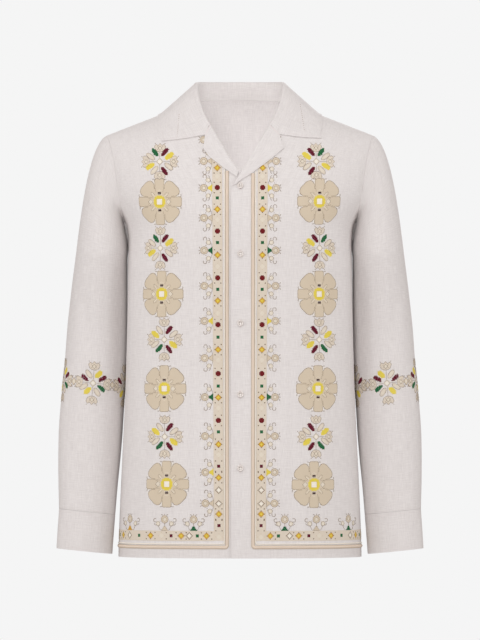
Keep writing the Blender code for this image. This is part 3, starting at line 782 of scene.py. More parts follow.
def push_out(point, trees, clear):
    """Move a point that is too near the body out to a clear distance."""
    found = [tree.find_nearest(point) for tree in trees]
    place, normal, _, _ = min(found, key=lambda hit: hit[3])
    height = (point - place).dot(normal)
    beside = (point - place - normal * height).length
    if height < clear and beside < PUSH_REACH:
        point = place + normal * clear
    return point


def neck_seam(side, around):
    """Point on the neck seam and the panel's normal there."""
    step = 2 * MM
    if around <= 0.5:
        x = side * NECK_HALF * math.sin(math.pi * around)
        z = back_top_z(x)
        place = back_point(x, z)
        if around == 0.5:
            place.y = RIDGE_Y
        tilt = 0.6 * math.cos(math.pi * around)
        return place, Vector((side * 0.45 * math.sin(math.pi * around), tilt, 0.82)).normalized()
    z = NECK_Z + (GORGE_Z - NECK_Z) * (2 * around - 1) ** SEAM_BEND - step * (1 - around)
    across = straight(FRONT_EDGE, z / MM) * MM
    return front_point(side, across, z), front_normal(side, across, z)


def seam_foot(side, around):
    """Foot of the collar's stand, just inside the neck seam, with its own up and inward."""
    place, normal = neck_seam(side, around)
    if around <= 0.5:
        turn = math.pi * around
        inward = -Vector((side * math.sin(turn), math.cos(turn), 0))
        corner = place - normal * CLOTH
        foot = corner + inward * STAND_CLEAR
        foot.z = place.z - 1 * MM
        return foot, normal, inward
    step = 0.02
    ahead, _ = neck_seam(side, min(around + step, 1))
    behind, _ = neck_seam(side, around - step)
    inward = normal.cross(ahead - behind).normalized() * side
    if inward.dot(Vector((0, 0, 12 * MM)) - place) < 0:
        inward.negate()
    foot = place + inward * STAND_CLEAR - normal * STAND_DROP
    return foot, normal, inward


def roll_over(points, radius, final, tangent):
    """Set the turned-over roll of one collar row, square to the roll line's tangent."""
    foot, roll = points[0], points[STAND_STEPS]
    down = foot - roll
    down = (down - tangent * down.dot(tangent)).normalized()
    out = points[ROLL_END] - roll
    out -= tangent * out.dot(tangent)
    out = (out - down * out.dot(down)).normalized()
    centre = roll + out * radius
    points[1] = foot.lerp(roll, 0.5)
    steps = ROLL_END - STAND_STEPS
    for k in range(1, steps + 1):
        turn = -math.pi / 2 + (final + math.pi / 2) * k / steps
        points[STAND_STEPS + k] = centre + (out * math.sin(turn) - down * math.cos(turn)) * radius


def collar_row(side, row):
    """Points across the collar from foot to outer edge, its roll radius and the roll's end angle."""
    foot, _, _ = seam_foot(side, row.around)
    roll = Vector((side * row.roll_x, row.roll_y, row.roll_z)) * MM
    radius = ROLL_RADIUS + (ROLL_END_RADIUS - ROLL_RADIUS) * smooth((row.around - 0.7) / 0.3)
    x, z = side * row.edge_x * MM, row.edge_z * MM
    edge = Vector((x, panel_y(BACK if row.behind else FRONT, x, z), z))
    down = (foot - roll).normalized()
    out = edge - roll
    out = (out - down * out.dot(down)).normalized()
    fall = (edge - roll - out * radius).normalized()
    final = math.atan2(fall.dot(down), fall.dot(out))
    points = [foot, None, roll] + [edge] * (ROLL_END - STAND_STEPS)
    roll_over(points, radius, final, Vector())
    return points + [points[-1].lerp(edge, share) for share in FALL_SHARES], radius, final


def end_row(side):
    """Points across the collar's front end, which follows the gorge to the notch and the point."""
    foot, normal, inward = seam_foot(side, 1)
    roll = foot + normal * (STAND_DROP - 0.9 * MM)
    points = [foot, None, roll] + [roll - inward] * (ROLL_END - STAND_STEPS)
    roll_over(points, ROLL_END_RADIUS, END_ANGLE, Vector())
    start = points[-1]
    return points + [end_row_point(side, share, start) for share in FALL_SHARES], ROLL_END_RADIUS, END_ANGLE


def end_row_point(side, share, start):
    """Point on the collar's front end: down the gorge to the notch, then out to the point."""
    notch, point = NOTCH[side], COLLAR_POINT[side]
    if share < NOTCH_SHARE:
        corner = on_front(side, notch[0] * MM, notch[1] * MM, LAY + COLLAR_CLOTH)
        return start.lerp(corner, share / NOTCH_SHARE)
    t = (share - NOTCH_SHARE) / (1 - NOTCH_SHARE)
    across = notch[0] + (point[0] - notch[0]) * t
    sag = 1.2 * math.sin(math.pi * t)
    z = notch[1] + (point[1] - notch[1]) * t - sag
    return on_front(side, across * MM, z * MM, LAY + COLLAR_CLOTH)


def along_curve(lines, at):
    """Point on a smooth curve through matching points of a list of rows."""
    count = len(lines)
    i = min(int(at), count - 2)
    t = at - i
    p0 = lines[max(i - 1, 0)]
    p1, p2 = lines[i], lines[i + 1]
    p3 = lines[min(i + 2, count - 1)]
    return [0.5 * ((2 * b) + (c - a) * t + (2 * a - 5 * b + 4 * c - d) * t * t
                   + (3 * b - a - 3 * c + d) * t ** 3)
            for a, b, c, d in zip(p0, p1, p2, p3)]


def half_collar(side):
    """Rows of points from the centre back to one front end."""
    keys = [collar_row(side, row) for row in COLLAR] + [end_row(side)]
    lines = [key[0] for key in keys]
    lines.insert(0, [Vector((-p.x, p.y, p.z)) for p in lines[1]])
    arounds = [row.around for row in COLLAR] + [1]
    trees = fine_surfaces(side)
    rows = []
    for around in COLLAR_ROWS:
        points = along_curve(lines, straight([(a, k + 1) for k, a in enumerate(arounds)], around))
        points[0] = seam_foot(side, around)[0]
        rows.append(points)
    rolls = [points[STAND_STEPS] for points in rows]
    rolls = [Vector((-rolls[1].x, rolls[1].y, rolls[1].z))] + rolls + [rolls[-1]]
    for k, (around, points) in enumerate(zip(COLLAR_ROWS, rows)):
        radius = straight([(a, key[1]) for a, key in zip(arounds, keys)], around)
        final = straight([(a, key[2]) for a, key in zip(arounds, keys)], around)
        roll_over(points, radius, final, (rolls[k + 2] - rolls[k]).normalized())
        for j in range(ROLL_END, len(points)):
            points[j] = push_out(points[j], trees, FALL_CLEAR)
    return rows


def make_node_material(name, values):
    """New material with its shader's values set, its node tree and its shader."""
    material = bpy.data.materials.new(name)
    material.use_nodes = True
    tree = material.node_tree
    shader = tree.nodes["Principled BSDF"]
    for key, value in values.items():
        shader.inputs[key].default_value = value
    return material, tree, shader


def new_node(tree, kind, values, links, **settings):
    """Shader node with its settings, then its inputs set or linked by name or number."""
    node = tree.nodes.new(kind)
    for key, value in settings.items():
        setattr(node, key, value)
    for key, value in values.items():
        node.inputs[key].default_value = value
    for key, socket in links.items():
        tree.links.new(socket, node.inputs[key])
    return node


def weave_height(tree, threads, vector):
    """Height of a plain weave: two sets of threads, each over and under the other."""
    waves = [new_node(tree, "ShaderNodeTexWave", {"Scale": threads, "Distortion": 0.4, "Detail": 1},
                      {"Vector": vector}, bands_direction=direction).outputs["Color"]
             for direction in ("X", "Y")]
    return new_node(tree, "ShaderNodeMath", {}, dict(enumerate(waves)), operation="MAXIMUM").outputs[0]


def streaks(tree, vector, stretch, scale):
    """Soft noise drawn out along the threads."""
    place = new_node(tree, "ShaderNodeMapping", {"Scale": (*stretch, 1)}, {"Vector": vector})
    noise = new_node(tree, "ShaderNodeTexNoise", {"Scale": scale, "Detail": 3}, {"Vector": place.outputs[0]})
    return noise.outputs["Fac"]


def link_mixed_colour(tree, shader, factor, dark, light):
    """Give a shader a colour between two tones."""
    mix = new_node(tree, "ShaderNodeMix", {"A": (*dark, 1), "B": (*light, 1)}, {"Factor": factor},
                   data_type="RGBA")
    tree.links.new(mix.outputs["Result"], shader.inputs["Base Color"])


def cloth_material(name, dark, light):
    """Fine plain-woven cotton with slightly uneven threads."""
    material, tree, shader = make_node_material(name, {
        "Roughness": 0.86, "Sheen Weight": 0.12, "Sheen Roughness": 0.6, "Specular IOR Level": 0.2})
    grid = tree.nodes.new("ShaderNodeTexCoord").outputs["UV"]
    warp, weft, slub = (streaks(tree, grid, stretch, scale)
                        for stretch, scale in (((1, 0.07), 900), ((0.07, 1), 900), ((1, 0.04), 170)))
    both = new_node(tree, "ShaderNodeMath", {}, {0: warp, 1: weft}, operation="ADD")
    uneven = new_node(tree, "ShaderNodeMath", {1: 3.5}, {0: both.outputs[0], 2: slub},
                      operation="MULTIPLY_ADD")
    ramp = new_node(tree, "ShaderNodeMapRange", {"From Min": 2.9, "From Max": 5.1},
                    {"Value": uneven.outputs[0]})
    link_mixed_colour(tree, shader, ramp.outputs[0], dark, light)
    drape = new_node(tree, "ShaderNodeBump", {"Strength": 0.28, "Distance": 5 * MM},
                     {"Height": streaks(tree, grid, (1, 0.14), 10)})
    bump = new_node(tree, "ShaderNodeBump", {"Strength": 0.35, "Distance": 0.12 * MM},
                    {"Height": weave_height(tree, 420, grid), "Normal": drape.outputs[0]})
    tree.links.new(bump.outputs[0], shader.inputs["Normal"])
    return material


def thread_material(name, colour):
    """Embroidery thread of one colour."""
    return make_node_material(name, {
        "Base Color": (*colour, 1), "Roughness": 0.62, "Sheen Weight": 0.05, "Sheen Roughness": 0.4,
        "Specular IOR Level": 0.22})[0]


def shell_material(name):
    """Pale button with a glossy coat and a cloudy figure."""
    material, tree, shader = make_node_material(name, {
        "Roughness": 0.22, "Coat Weight": 0.4, "Coat Roughness": 0.08})
    place = tree.nodes.new("ShaderNodeTexCoord").outputs["Object"]
    cloud = streaks(tree, place, (1, 1), 260)
    link_mixed_colour(tree, shader, cloud, tone(205, 195, 188), tone(230, 222, 217))
    return material


def new_object(name, mesh, node_names):
    """Put a mesh into the scene as a piece that rides on the shirt."""
    item = bpy.data.objects.new(name, mesh)
    bpy.context.scene.collection.objects.link(item)
    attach(item, "root")
    if node_names:
        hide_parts(*node_names)
    return item


def shell(name, outer, normals, thickness, material, node_names, ring=False):
    """Closed cloth shell below a grid of points, with thread directions as its UV."""
    rows, columns = len(outer), len(outer[0])
    inner = inset(outer, normals, thickness)
    points = [p for row in outer for p in row] + [p for row in inner for p in row]
    base = rows * columns
    middle = outer[rows // 2]
    across = [0.0]
    for j in range(columns if ring else columns - 1):
        across.append(across[-1] + (middle[(j + 1) % columns] - middle[j]).length)
    column = [row[columns // 3] for row in outer]
    up = [0.0]
    for low, high in zip(column, column[1:]):
        up.append(up[-1] + (high - low).length)
    faces, uvs = [], []

    def quad(corners, places):
        faces.append(corners)
        uvs.extend(places)

    turn = (outer[rows // 2][(columns // 2 + 1) % columns] - outer[rows // 2][columns // 2]).cross(
        outer[rows // 2 + 1][columns // 2] - outer[rows // 2][columns // 2])
    outward = turn.dot(normals[rows // 2][columns // 2]) > 0
    last = columns if ring else columns - 1
    for i in range(rows - 1):
        for j in range(last):
            k = (j + 1) % columns
            ids = (i * columns + j, i * columns + k, (i + 1) * columns + k, (i + 1) * columns + j)
            at = ((across[j], up[i]), (across[j + 1], up[i]),
                  (across[j + 1], up[i + 1]), (across[j], up[i + 1]))
            below = tuple(base + n for n in ids)
            if outward:
                quad(ids, at)
                quad(below[::-1], at[::-1])
            else:
                quad(ids[::-1], at[::-1])
                quad(below, at)
    rims = [(i * columns + j, i * columns + (j + 1) % columns, i == 0)
            for i in (0, rows - 1) for j in range(last)]
    if not ring:
        rims += [(i * columns + j, (i + 1) * columns + j, j != 0)
                 for j in (0, columns - 1) for i in range(rows - 1)]
    for a, b, first in rims:
        ids = (a, b, base + b, base + a)
        if first == outward:
            ids = ids[::-1]
        quad(ids, RIM_UV)
    mesh = bpy.data.meshes.new(name)
    mesh.from_pydata([tuple(p) for p in points], [], faces)
    layer = mesh.uv_layers.new(name="UVMap")
    layer.data.foreach_set("uv", np.array(uvs, dtype=np.float32).ravel())
    mesh.shade_smooth()
    mesh.set_sharp_from_angle(angle=math.radians(SHARP_ANGLE))
    mesh.materials.append(material)
    return new_object(name, mesh, node_names)


class Skin:
    """Places on a surface by distance across it and height, for what is sewn onto it."""

    STEP = 3 * MM

    def __init__(self, heights, lines, starts, loop=False):
        """heights rise; lines hold each height's points; starts is where each line's distance is 0."""
        self.heights = np.array(heights)
        self.loop = loop
        lengths = []
        places = []
        for line, start in zip(lines, starts):
            p = np.array([tuple(v) for v in line])
            s = np.concatenate([[0], np.cumsum(np.linalg.norm(np.diff(p, axis=0), axis=1))])
            lengths.append(s - s[start])
            places.append(p)
        self.low = min(s[0] for s in lengths)
        self.high = max(s[-1] for s in lengths)
        self.lengths = lengths
        self.lines = places
        count = int((self.high - self.low) / self.STEP) + 2
        self.axis = self.low + self.STEP * np.arange(count)
        grid = np.zeros((len(lines), count, 3))
        for i, (s, p) in enumerate(zip(lengths, places)):
            at = self.axis
            if loop:
                around = s[-1] - s[0]
                at = (self.axis - s[0]) % around + s[0]
            for k in range(3):
                grid[i, :, k] = np.interp(at, s, p[:, k])
        self.grid = grid
        run = np.gradient(grid, axis=1)
        rise = np.gradient(grid, axis=0)
        normal = np.cross(run, rise)
        normal /= np.linalg.norm(normal, axis=2, keepdims=True) + 1e-12
        self.normal = normal
        self.flipped = False

    def end_at(self, z):
        """Distance across where the surface ends, at each height."""
        return np.interp(z, self.heights, [s[-1] for s in self.lengths])

    def face_out(self, middle):
        """Turn the normals away from a line of middle points, one for each height."""
        away = self.grid - np.array([tuple(v) for v in middle])[:, None, :]
        facing = np.sign((away * self.normal).sum(axis=2).mean())
        self.normal *= facing
        self.flipped = facing < 0

    def across_at(self, x, z):
        """Distance across of a place given by its x."""
        i = int(np.clip(np.searchsorted(self.heights, z), 0, len(self.heights) - 1))
        xs = np.abs(self.lines[i][:, 0]) * np.sign(self.lines[i][:, 0] * self.lines[i][-1, 0])
        return float(np.interp(abs(x), xs, self.lengths[i]))

    def points(self, s, z, lift):
        """Points at arrays of distances and heights, lifted off the surface."""
        if self.loop:
            around = self.around(z)
            s = (s - self.low) % around + self.low
        u = np.clip((s - self.low) / self.STEP, 0, self.grid.shape[1] - 1.001)
        v = np.interp(z, self.heights, np.arange(len(self.heights)))
        v = np.clip(v, 0, len(self.heights) - 1.001)
        i, j = v.astype(int), u.astype(int)
        fv, fu = (v - i)[:, None], (u - j)[:, None]

        def blend(field):
            low = field[i, j] * (1 - fu) + field[i, j + 1] * fu
            high = field[i + 1, j] * (1 - fu) + field[i + 1, j + 1] * fu
            return low * (1 - fv) + high * fv

        return blend(self.grid) + blend(self.normal) * lift[:, None]

    def around(self, z):
        """Length round the loop at each height."""
        whole = [s[-1] - s[0] for s in self.lengths]
        return np.interp(z, self.heights, whole)


def tone(red, green, blue):
    """Linear colour of an sRGB tone."""
    values = [v / 255 for v in (red, green, blue)]
    return tuple(v / 12.92 if v <= 0.04045 else ((v + 0.055) / 1.055) ** 2.4 for v in values)


THREAD_TONES = {
    "beige": tone(214, 199, 177),
    "ground": tone(221, 209, 193),
    "cream": tone(226, 216, 200),
    # This tan also draws the hemstitch holes down the collar, as painted shade
    "tan": tone(128, 104, 76),
    "umber": tone(104, 80, 54),
    "yellow": tone(226, 206, 84),
    "gold": tone(206, 160, 58),
    "maroon": tone(98, 12, 38),
    "red": tone(112, 18, 24),
    "green": tone(34, 100, 60),
    "ivory": tone(240, 233, 221),
    # This dark brown also draws the four holes of each button, as painted shade
    "brown_and_hole_shade": tone(58, 28, 32),
    "cloth": tone(224, 215, 213),
}
THREADS = tuple(THREAD_TONES)


class Stitches:
    """Raised threads of many colours, gathered into one piece."""

    def __init__(self, name):
        self.name = name
        self.points = []
        self.faces = []
        self.colours = []
        self.count = 0

    def add(self, points, colours, flip):
        """Points as an array of strands of nine points each."""
        base = self.count + 9 * np.arange(len(points))[:, None, None]
        quads = np.array(((0, 1, 4, 3), (1, 2, 5, 4), (3, 4, 7, 6), (4, 5, 8, 7)))
        if flip:
            quads = quads[:, ::-1]
        self.faces.append((base + quads[None]).reshape(-1, 4))
        self.points.append(points.reshape(-1, 3))
        self.colours.append(np.repeat(colours, 4))
        self.count += 9 * len(points)

    def strand(self, start, end, normal, width, height, colour):
        """One thread between two places in space."""
        along = end - start
        side = normal.cross(along).normalized() * width / 2
        rows = []
        for share, rise in ((0, 0.15), (0.5, 1), (1, 0.15)):
            place = start + along * share
            rows += [place + side, place + normal * height * rise, place - side]
        array = np.array([[tuple(p) for p in rows]])
        self.add(array, np.array([THREADS.index(colour)]), False)

    def seam(self, places, pitch, colour="cloth", width=0.5 * MM, height=0.35 * MM, lift=0.05 * MM):
        """Row of stitches along places given as points with normals."""
        carried = 0.0
        for (a, na), (b, nb) in zip(places, places[1:]):
            length = (b - a).length
            while carried < length:
                t, far = carried / length, min((carried + pitch * STITCH_SHARE) / length, 1)
                normal = na.lerp(nb, t).normalized()
                self.strand(a.lerp(b, t) + normal * lift, a.lerp(b, far) + normal * lift,
                            normal, width, height, colour)
                carried += pitch
            carried -= length

    def ridge(self, places, width, height, colour="cloth"):
        """Unbroken flat seam along places given as points with normals."""
        for (a, na), (b, nb) in zip(places, places[1:]):
            reach = (b - a) * 0.3
            self.strand(a - reach, b + reach, (na + nb).normalized(), width, height, colour)

    def build(self, materials, slot="shirt_cloth"):
        mesh = bpy.data.meshes.new(self.name)
        points, faces = np.concatenate(self.points), np.concatenate(self.faces)
        mesh.vertices.add(len(points))
        mesh.vertices.foreach_set("co", points.astype(np.float32).ravel())
        mesh.loops.add(len(faces) * 4)
        mesh.loops.foreach_set("vertex_index", faces.astype(np.int32).ravel())
        mesh.polygons.add(len(faces))
        mesh.polygons.foreach_set("loop_start", np.arange(0, len(faces) * 4, 4, dtype=np.int32))
        colours = np.concatenate(self.colours)
        used = sorted(set(colours.tolist()))
        for index in used:
            mesh.materials.append(materials[THREADS[index]])
        slots = np.searchsorted(used, colours).astype(np.int32)
        mesh.polygons.foreach_set("material_index", slots)
        mesh.update(calc_edges=True)
        mesh.validate()
        mesh.shade_smooth()
        return new_object(self.name, mesh, ())


def strand_rows(u0, v0, u1, v1, width, low, high):
    """Nine points of a thread laid in a chart, as distances, heights and lifts."""
    length = math.hypot(u1 - u0, v1 - v0)
    side_u, side_v = -(v1 - v0) / length * width / 2, (u1 - u0) / length * width / 2
    rows = []
    for share, rise in ((0, 0.2), (0.5, 1), (1, 0.2)):
        u, v = u0 + (u1 - u0) * share, v0 + (v1 - v0) * share
        rows += [(u + side_u, v + side_v, low), (u, v, low + (high - low) * rise),
                 (u - side_u, v - side_v, low)]
    return rows


def inside(polygon, u, v):
    """True where a point lies in a polygon."""
    found = False
    for (u0, v0), (u1, v1) in zip(polygon, polygon[1:] + polygon[:1]):
        if (v0 > v) != (v1 > v) and u < u0 + (u1 - u0) * (v - v0) / (v1 - v0):
            found = not found
    return found


# Cross-stitch: a thread's share of the pitch, its foot and its crests, then the pitches of the charts
THREAD_SHARE = 0.84
SUNK = -0.1
UNDER_THREAD = 0.42
OVER_THREAD = 0.62
LINE_THREAD = 0.86
STAR_PITCH = 1.6
ROSETTE_PITCH = 1.8
UPRIGHT = ((-1, 0), (0, 1))


class Chart:
    """Motif of cross-stitches on a square grid, with backstitched lines. Millimetres."""

    def __init__(self, pitch):
        self.pitch = pitch
        self.cells = {}
        self.lines = []

    def fill(self, polygon, colour):
        reach = [int(max(abs(p[k]) for p in polygon) / self.pitch) + 1 for k in (0, 1)]
        for i in range(-reach[0], reach[0] + 1):
            for j in range(-reach[1], reach[1] + 1):
                if inside(polygon, i * self.pitch, j * self.pitch):
                    self.cells[i, j] = colour

    def line(self, places, colour="tan", step=1.9, width=0.95):
        for (u0, v0), (u1, v1) in zip(places, places[1:]):
            parts = max(1, round(math.hypot(u1 - u0, v1 - v0) / step))
            for k in range(parts):
                a, b = (k + 0.08) / parts, (k + 0.92) / parts
                self.lines.append((u0 + (u1 - u0) * a, v0 + (v1 - v0) * a,
                                   u0 + (u1 - u0) * b, v0 + (v1 - v0) * b, width, colour))

    def shape(self, polygon, colour):
        self.fill(polygon, colour)
        self.line(polygon + polygon[:1])

    def lace(self, lines, place):
        """Lines of a table, each carried to its place by a function."""
        for places, colour, step, width in lines:
            self.line([place(u, v) for u, v in places], colour, step, width)

    def strands(self):
        """All threads of the chart as an array, in metres, and their colours."""
        rows, colours = [], []
        half, width = self.pitch * 0.5, self.pitch * THREAD_SHARE
        for (i, j), colour in self.cells.items():
            u, v = i * self.pitch, j * self.pitch
            rows.append(strand_rows(u - half, v - half, u + half, v + half, width, SUNK, UNDER_THREAD))
            rows.append(strand_rows(u - half, v + half, u + half, v - half, width, SUNK, OVER_THREAD))
            colours += [THREADS.index(colour)] * 2
        for u0, v0, u1, v1, width, colour in self.lines:
            rows.append(strand_rows(u0, v0, u1, v1, width, SUNK, LINE_THREAD))
            colours.append(THREADS.index(colour))
        return np.array(rows) * MM, np.array(colours)


def sew(stitches, chart, skin, s, z, frame_of=UPRIGHT, top=None):
    """Sew a chart onto a surface. frame_of turns its axes into distance across and height."""
    rows, colours = chart
    (a, b), (c, d) = frame_of
    u, v, lift = rows[..., 0], rows[..., 1], rows[..., 2]
    across, height = s + a * u + b * v, z + c * u + d * v
    keep = (height.max(axis=1) < skin.heights[-1]) & (height.min(axis=1) > skin.heights[0])
    if not skin.loop:
        keep &= across.max(axis=1) < skin.end_at(height.mean(axis=1))
    if top is not None:
        keep &= height.max(axis=1) < top(across.mean(axis=1))
    across, height, lift = across[keep], height[keep], lift[keep]
    if not len(across):
        return
    points = skin.points(across.ravel(), height.ravel(), lift.ravel()).reshape(-1, 9, 3)
    flip = (a * d - b * c < 0) != skin.flipped
    stitches.add(points, colours[keep], flip)


def turned(places, quarter):
    """Places turned about the middle by quarter turns."""
    for _ in range(quarter % 4):
        places = [(-v, u) for u, v in places]
    return places


def lozenge(u, v, half_u, half_v):
    return [(u - half_u, v), (u, v - half_v), (u + half_u, v), (u, v + half_v)]


def ring(u, v, radius, sides=8):
    turns = [2 * math.pi * k / sides for k in range(sides)]
    return [(u + radius * math.cos(turn), v + radius * math.sin(turn)) for turn in turns]


def block(u, v, half_u, half_v):
    return [(u - half_u, v - half_v), (u + half_u, v - half_v),
            (u + half_u, v + half_v), (u - half_u, v + half_v)]


def petal(u, v, angle, length, width):
    """Long petal with rounded ends."""
    c, s = math.cos(math.radians(angle)), math.sin(math.radians(angle))
    outline = ((-0.5, 0), (-0.36, 0.34), (-0.12, 0.5), (0.16, 0.5), (0.4, 0.36), (0.5, 0),
               (0.4, -0.36), (0.16, -0.5), (-0.12, -0.5), (-0.36, -0.34))
    return [(u + a * length * c - b * width * s, v + a * length * s + b * width * c)
            for a, b in outline]


SQUARE_PETAL = [(-5.5, 10), (-7, 20), (-7.8, 33), (-6.4, 36.4),
                (6.4, 36.4), (7.8, 33), (7, 20), (5.5, 10)]
ROUND_PETAL = [(8.4, 20), (9, 27.6), (11.6, 31.8), (16.6, 33.2), (21.6, 31.4), (25.2, 28), (28, 25.2),
               (31.4, 21.6), (33.2, 16.6), (31.8, 11.6), (27.6, 9), (20, 8.4), (12, 8), (8, 12)]

# Lines of lace, each as its places, colour, length of stitch and width
NOTCH_LACE = (
    (((8.5, 27.5), (9.2, 31.5), (10.4, 34.4)), "ivory", 2.2, 1.3),
    (((7.6, 34.8), (9.8, 36.2), (11.8, 35.6)), "tan", 1.9, 1),
    (((12.2, 33.8), (13.8, 35.2)), "ivory", 1.9, 1),
    (((6.9, 20), (5.6, 15)), "tan", 2.4, 0.7),
)
PETAL_LACE = (
    (((8.2, 8.2), (13.6, 12.6)), "ivory", 2.2, 1.7),
    (((7.6, 10.4), (10.2, 13.4), (13.4, 15), (15.6, 13.6), (14, 10.6), (10.4, 7.6)), "tan", 2.1, 0.7),
)
SIDE_LACE = (
    (((19.4, 4.4), (15.2, 7.2), (11.2, 6.2)), "tan", 2, 0.7),
    (((19.4, -4.4), (15.2, -7.2), (11.2, -6.2)), "tan", 2, 0.7),
)
TIP_LACE = (
    (((-4.4, 12), (0, 12.9), (4.4, 12)), "ivory", 2, 1),
    (((-3.4, 17.4), (0, 18.8), (3.4, 17.4)), "ivory", 2, 0.9),
)
LINK_LACE = (
    (((2.4, 5), (4.4, 8.6), (7.4, 9.4)), "tan", 1.9, 0.9),
    (((5, 4), (7.4, 5.6)), "ivory", 1.9, 0.9),
)
CROWN_LACE = (
    (((4.6, 17.8), (2.2, 21), (5, 23.8)), "tan", 2, 0.7),
    (((7.2, 27.6), (9.4, 29)), "tan", 1.9, 0.9),
    (((10.8, 24), (12.2, 22)), "ivory", 1.9, 0.9),
)


def rosette_chart():
    """Eight-petalled rosette, 73 mm across."""
    chart = Chart(ROSETTE_PITCH)
    chart.fill(ring(0, 0, 26, 24), "beige")
    for quarter in range(4):
        for outline in (ROUND_PETAL, SQUARE_PETAL):
            chart.fill(turned(outline, quarter), "beige")
    for quarter in range(4):
        for outline in (ROUND_PETAL[:12], SQUARE_PETAL[1:7]):
            chart.line(turned(outline, quarter), "tan", 2.1, 1.1)
        for flip in (1, -1):
            chart.lace(NOTCH_LACE, lambda u, v: turned([(flip * u, v)], quarter)[0])
        chart.lace(PETAL_LACE, lambda u, v: turned([(u, v)], quarter)[0])
    for flip in (1, -1):
        chart.shape(lozenge(flip * 15.2, 0, 4.4, 4.6), "cream")
        chart.lace(SIDE_LACE, lambda u, v: (flip * u, v))
        chart.lace(TIP_LACE, lambda u, v: (u, flip * v))
        chart.fill(block(0, flip * 13.5, 2.8, 1.6), "brown_and_hole_shade")
    chart.fill(ring(0, 0, 10.6), "yellow")
    middle = block(0, 0, 5, 5)
    chart.fill(block(0, 0, 4.6, 4.6), "ivory")
    chart.line(middle + middle[:1], "gold", 2.2, 0.6)
    return chart.strands()


STAR_PETALS = ((7.8, 14.2, 50), (14.4, 8, 36), (13.8, -7.2, -38), (7.2, -13.6, -52),
               (-8, -12.6, 228), (-14.6, -6.6, 214), (-14.2, 7.4, 145), (-7.6, 13.6, 130))
STAR_SIZE = 1.09
CROWN = [(-9.2, 23.4), (-7.4, 17.8), (-3, 15), (3, 15), (7.4, 17.8), (9.2, 23.4), (6.4, 27), (3.4, 24.6),
         (0, 28.4), (-3.4, 24.6), (-6.4, 27)]


def star_chart(colours, tall=6, size=STAR_SIZE):
    """Star of eight petals round an ivory middle, crowned at each tip and drawn out by tall upwards."""
    chart = Chart(STAR_PITCH)
    for quarter in range(4):
        far = tall if quarter % 2 == 0 else 2.4
        chart.shape(turned([(u, v + far) for u, v in CROWN], quarter), "ground")
        chart.shape(turned(lozenge(0, 20.6 + far, 3.4, 3.6), quarter), "cream")
        chart.line(turned([(0, 6), (0, 14.6 + far)], quarter), "tan", 2, 0.7)
        for flip in (1, -1):
            chart.lace(CROWN_LACE, lambda u, v: turned([(flip * u, v + far)], quarter)[0])
            chart.line(turned([(flip * 2.4, 14.6), (flip * 1.6, 9)], quarter), "cream", 2, 1.3)
    for (u, v, angle), colour in zip(STAR_PETALS, colours):
        u, v = u * size, v * size
        width, border = (8.2, 9.6) if colour == "yellow" else (6.9, 8.4)
        outline = petal(u, v, angle, 15.6 * size, width)
        if colour == "cream":
            chart.shape(outline, "ground")
            chart.fill(petal(u, v, angle, 9, 3.2), "cream")
        else:
            chart.fill(outline, colour)
            chart.line(petal(u, v, angle, 17.2 * size, border), "cream", 2.2, 0.7)
    chart.shape(lozenge(0, 0, 5.4, 5.4), "cream")
    chart.fill(block(0, 0, 2.2, 2.2), "ivory")
    return chart.strands()


def sprig_chart(base, spread, deep):
    """Ringed flower head on a foot, with a bud and a hook each side. It grows along its second axis."""
    chart = Chart(STAR_PITCH)
    foot = [(-5.2, 1), (5.2, 1), (1, 7.4), (-1, 7.4)]
    chart.fill(foot, base)
    chart.line(foot + foot[:1], "tan" if base == "beige" else base, 2, 0.7)
    chart.line([(0, 7.4), (0, deep - 6)], "tan", 1.9, 1)
    bud, hook = 10 * spread, 14.6 * spread
    curl = ring(hook, deep - 1.4, 3)
    lace = (
        (((5.4, 1.2), (bud - 3.6, 2), (bud - 0.6, deep - 10.6)), "tan", 2.2, 0.7),
        (curl[5:] + curl[:4], "tan", 1.9, 1),
        (((hook - 0.8, deep - 1.4), (hook + 1, deep - 1.4)), "ivory", 1.9, 1.2),
        (((bud + 3.4, deep - 9.4), (hook + 0.4, deep - 8.6), (hook + 1.6, deep - 6.4)), "tan", 1.9, 0.9),
        (((2.8, deep + 6.4), (5.8, deep + 8)), "tan", 1.9, 1.1),
        (((7.2, deep + 2), (9.8, deep + 3.8)), "ivory", 1.9, 1),
        (((7, deep - 2.8), (8.8, deep - 2.6)), "tan", 1.9, 1),
    )
    for flip in (1, -1):
        chart.shape([(flip * u, v) for u, v in petal(bud, deep - 7, 60, 7.6, 6.6)], "cream")
        chart.fill(block(flip * bud, deep - 7, 1, 1), "ivory")
        chart.lace(lace, lambda u, v: (flip * u, v))
    chart.shape(ring(0, deep, 6.2), "beige")
    chart.shape(ring(0, deep, 3.2), "cream")
    chart.line([(0, deep + 6.6), (0, deep + 9.2)], "tan", 1.9, 1)
    return chart.strands()


def band_chart(first, last, marks):
    """Length of band: a ground of cross-stitch with a row of marks. It runs along its second axis."""
    chart = Chart(BAND_PITCH)
    width = range(-BAND_HALF, BAND_HALF + 1)
    for j in range(math.ceil(first / BAND_PITCH), math.floor(last / BAND_PITCH) + 1):
        for i in width:
            chart.cells[i, j] = "ground"
    cells = [(round(place / BAND_PITCH), mark) for place, mark in marks]
    for middle, mark in cells:
        for i in width:
            for j in width:
                colour = mark_colour(mark, i, j)
                if colour and (i, middle + j) in chart.cells:
                    chart.cells[i, middle + j] = colour
    for middle, mark in cells:
        if mark in ("green", "open", "ivory"):
            continue
        for place in ((i, middle + j) for i in (3, -3) for j in (5, -5)):
            if place in chart.cells:
                chart.cells[place] = "umber"
    edge = BAND_PITCH * (BAND_HALF + 0.5) + 0.2
    for side in (-1, 1):
        chart.line([(side * edge, first), (side * edge, last)], "beige", 2.4, 0.7)
    return chart.strands()


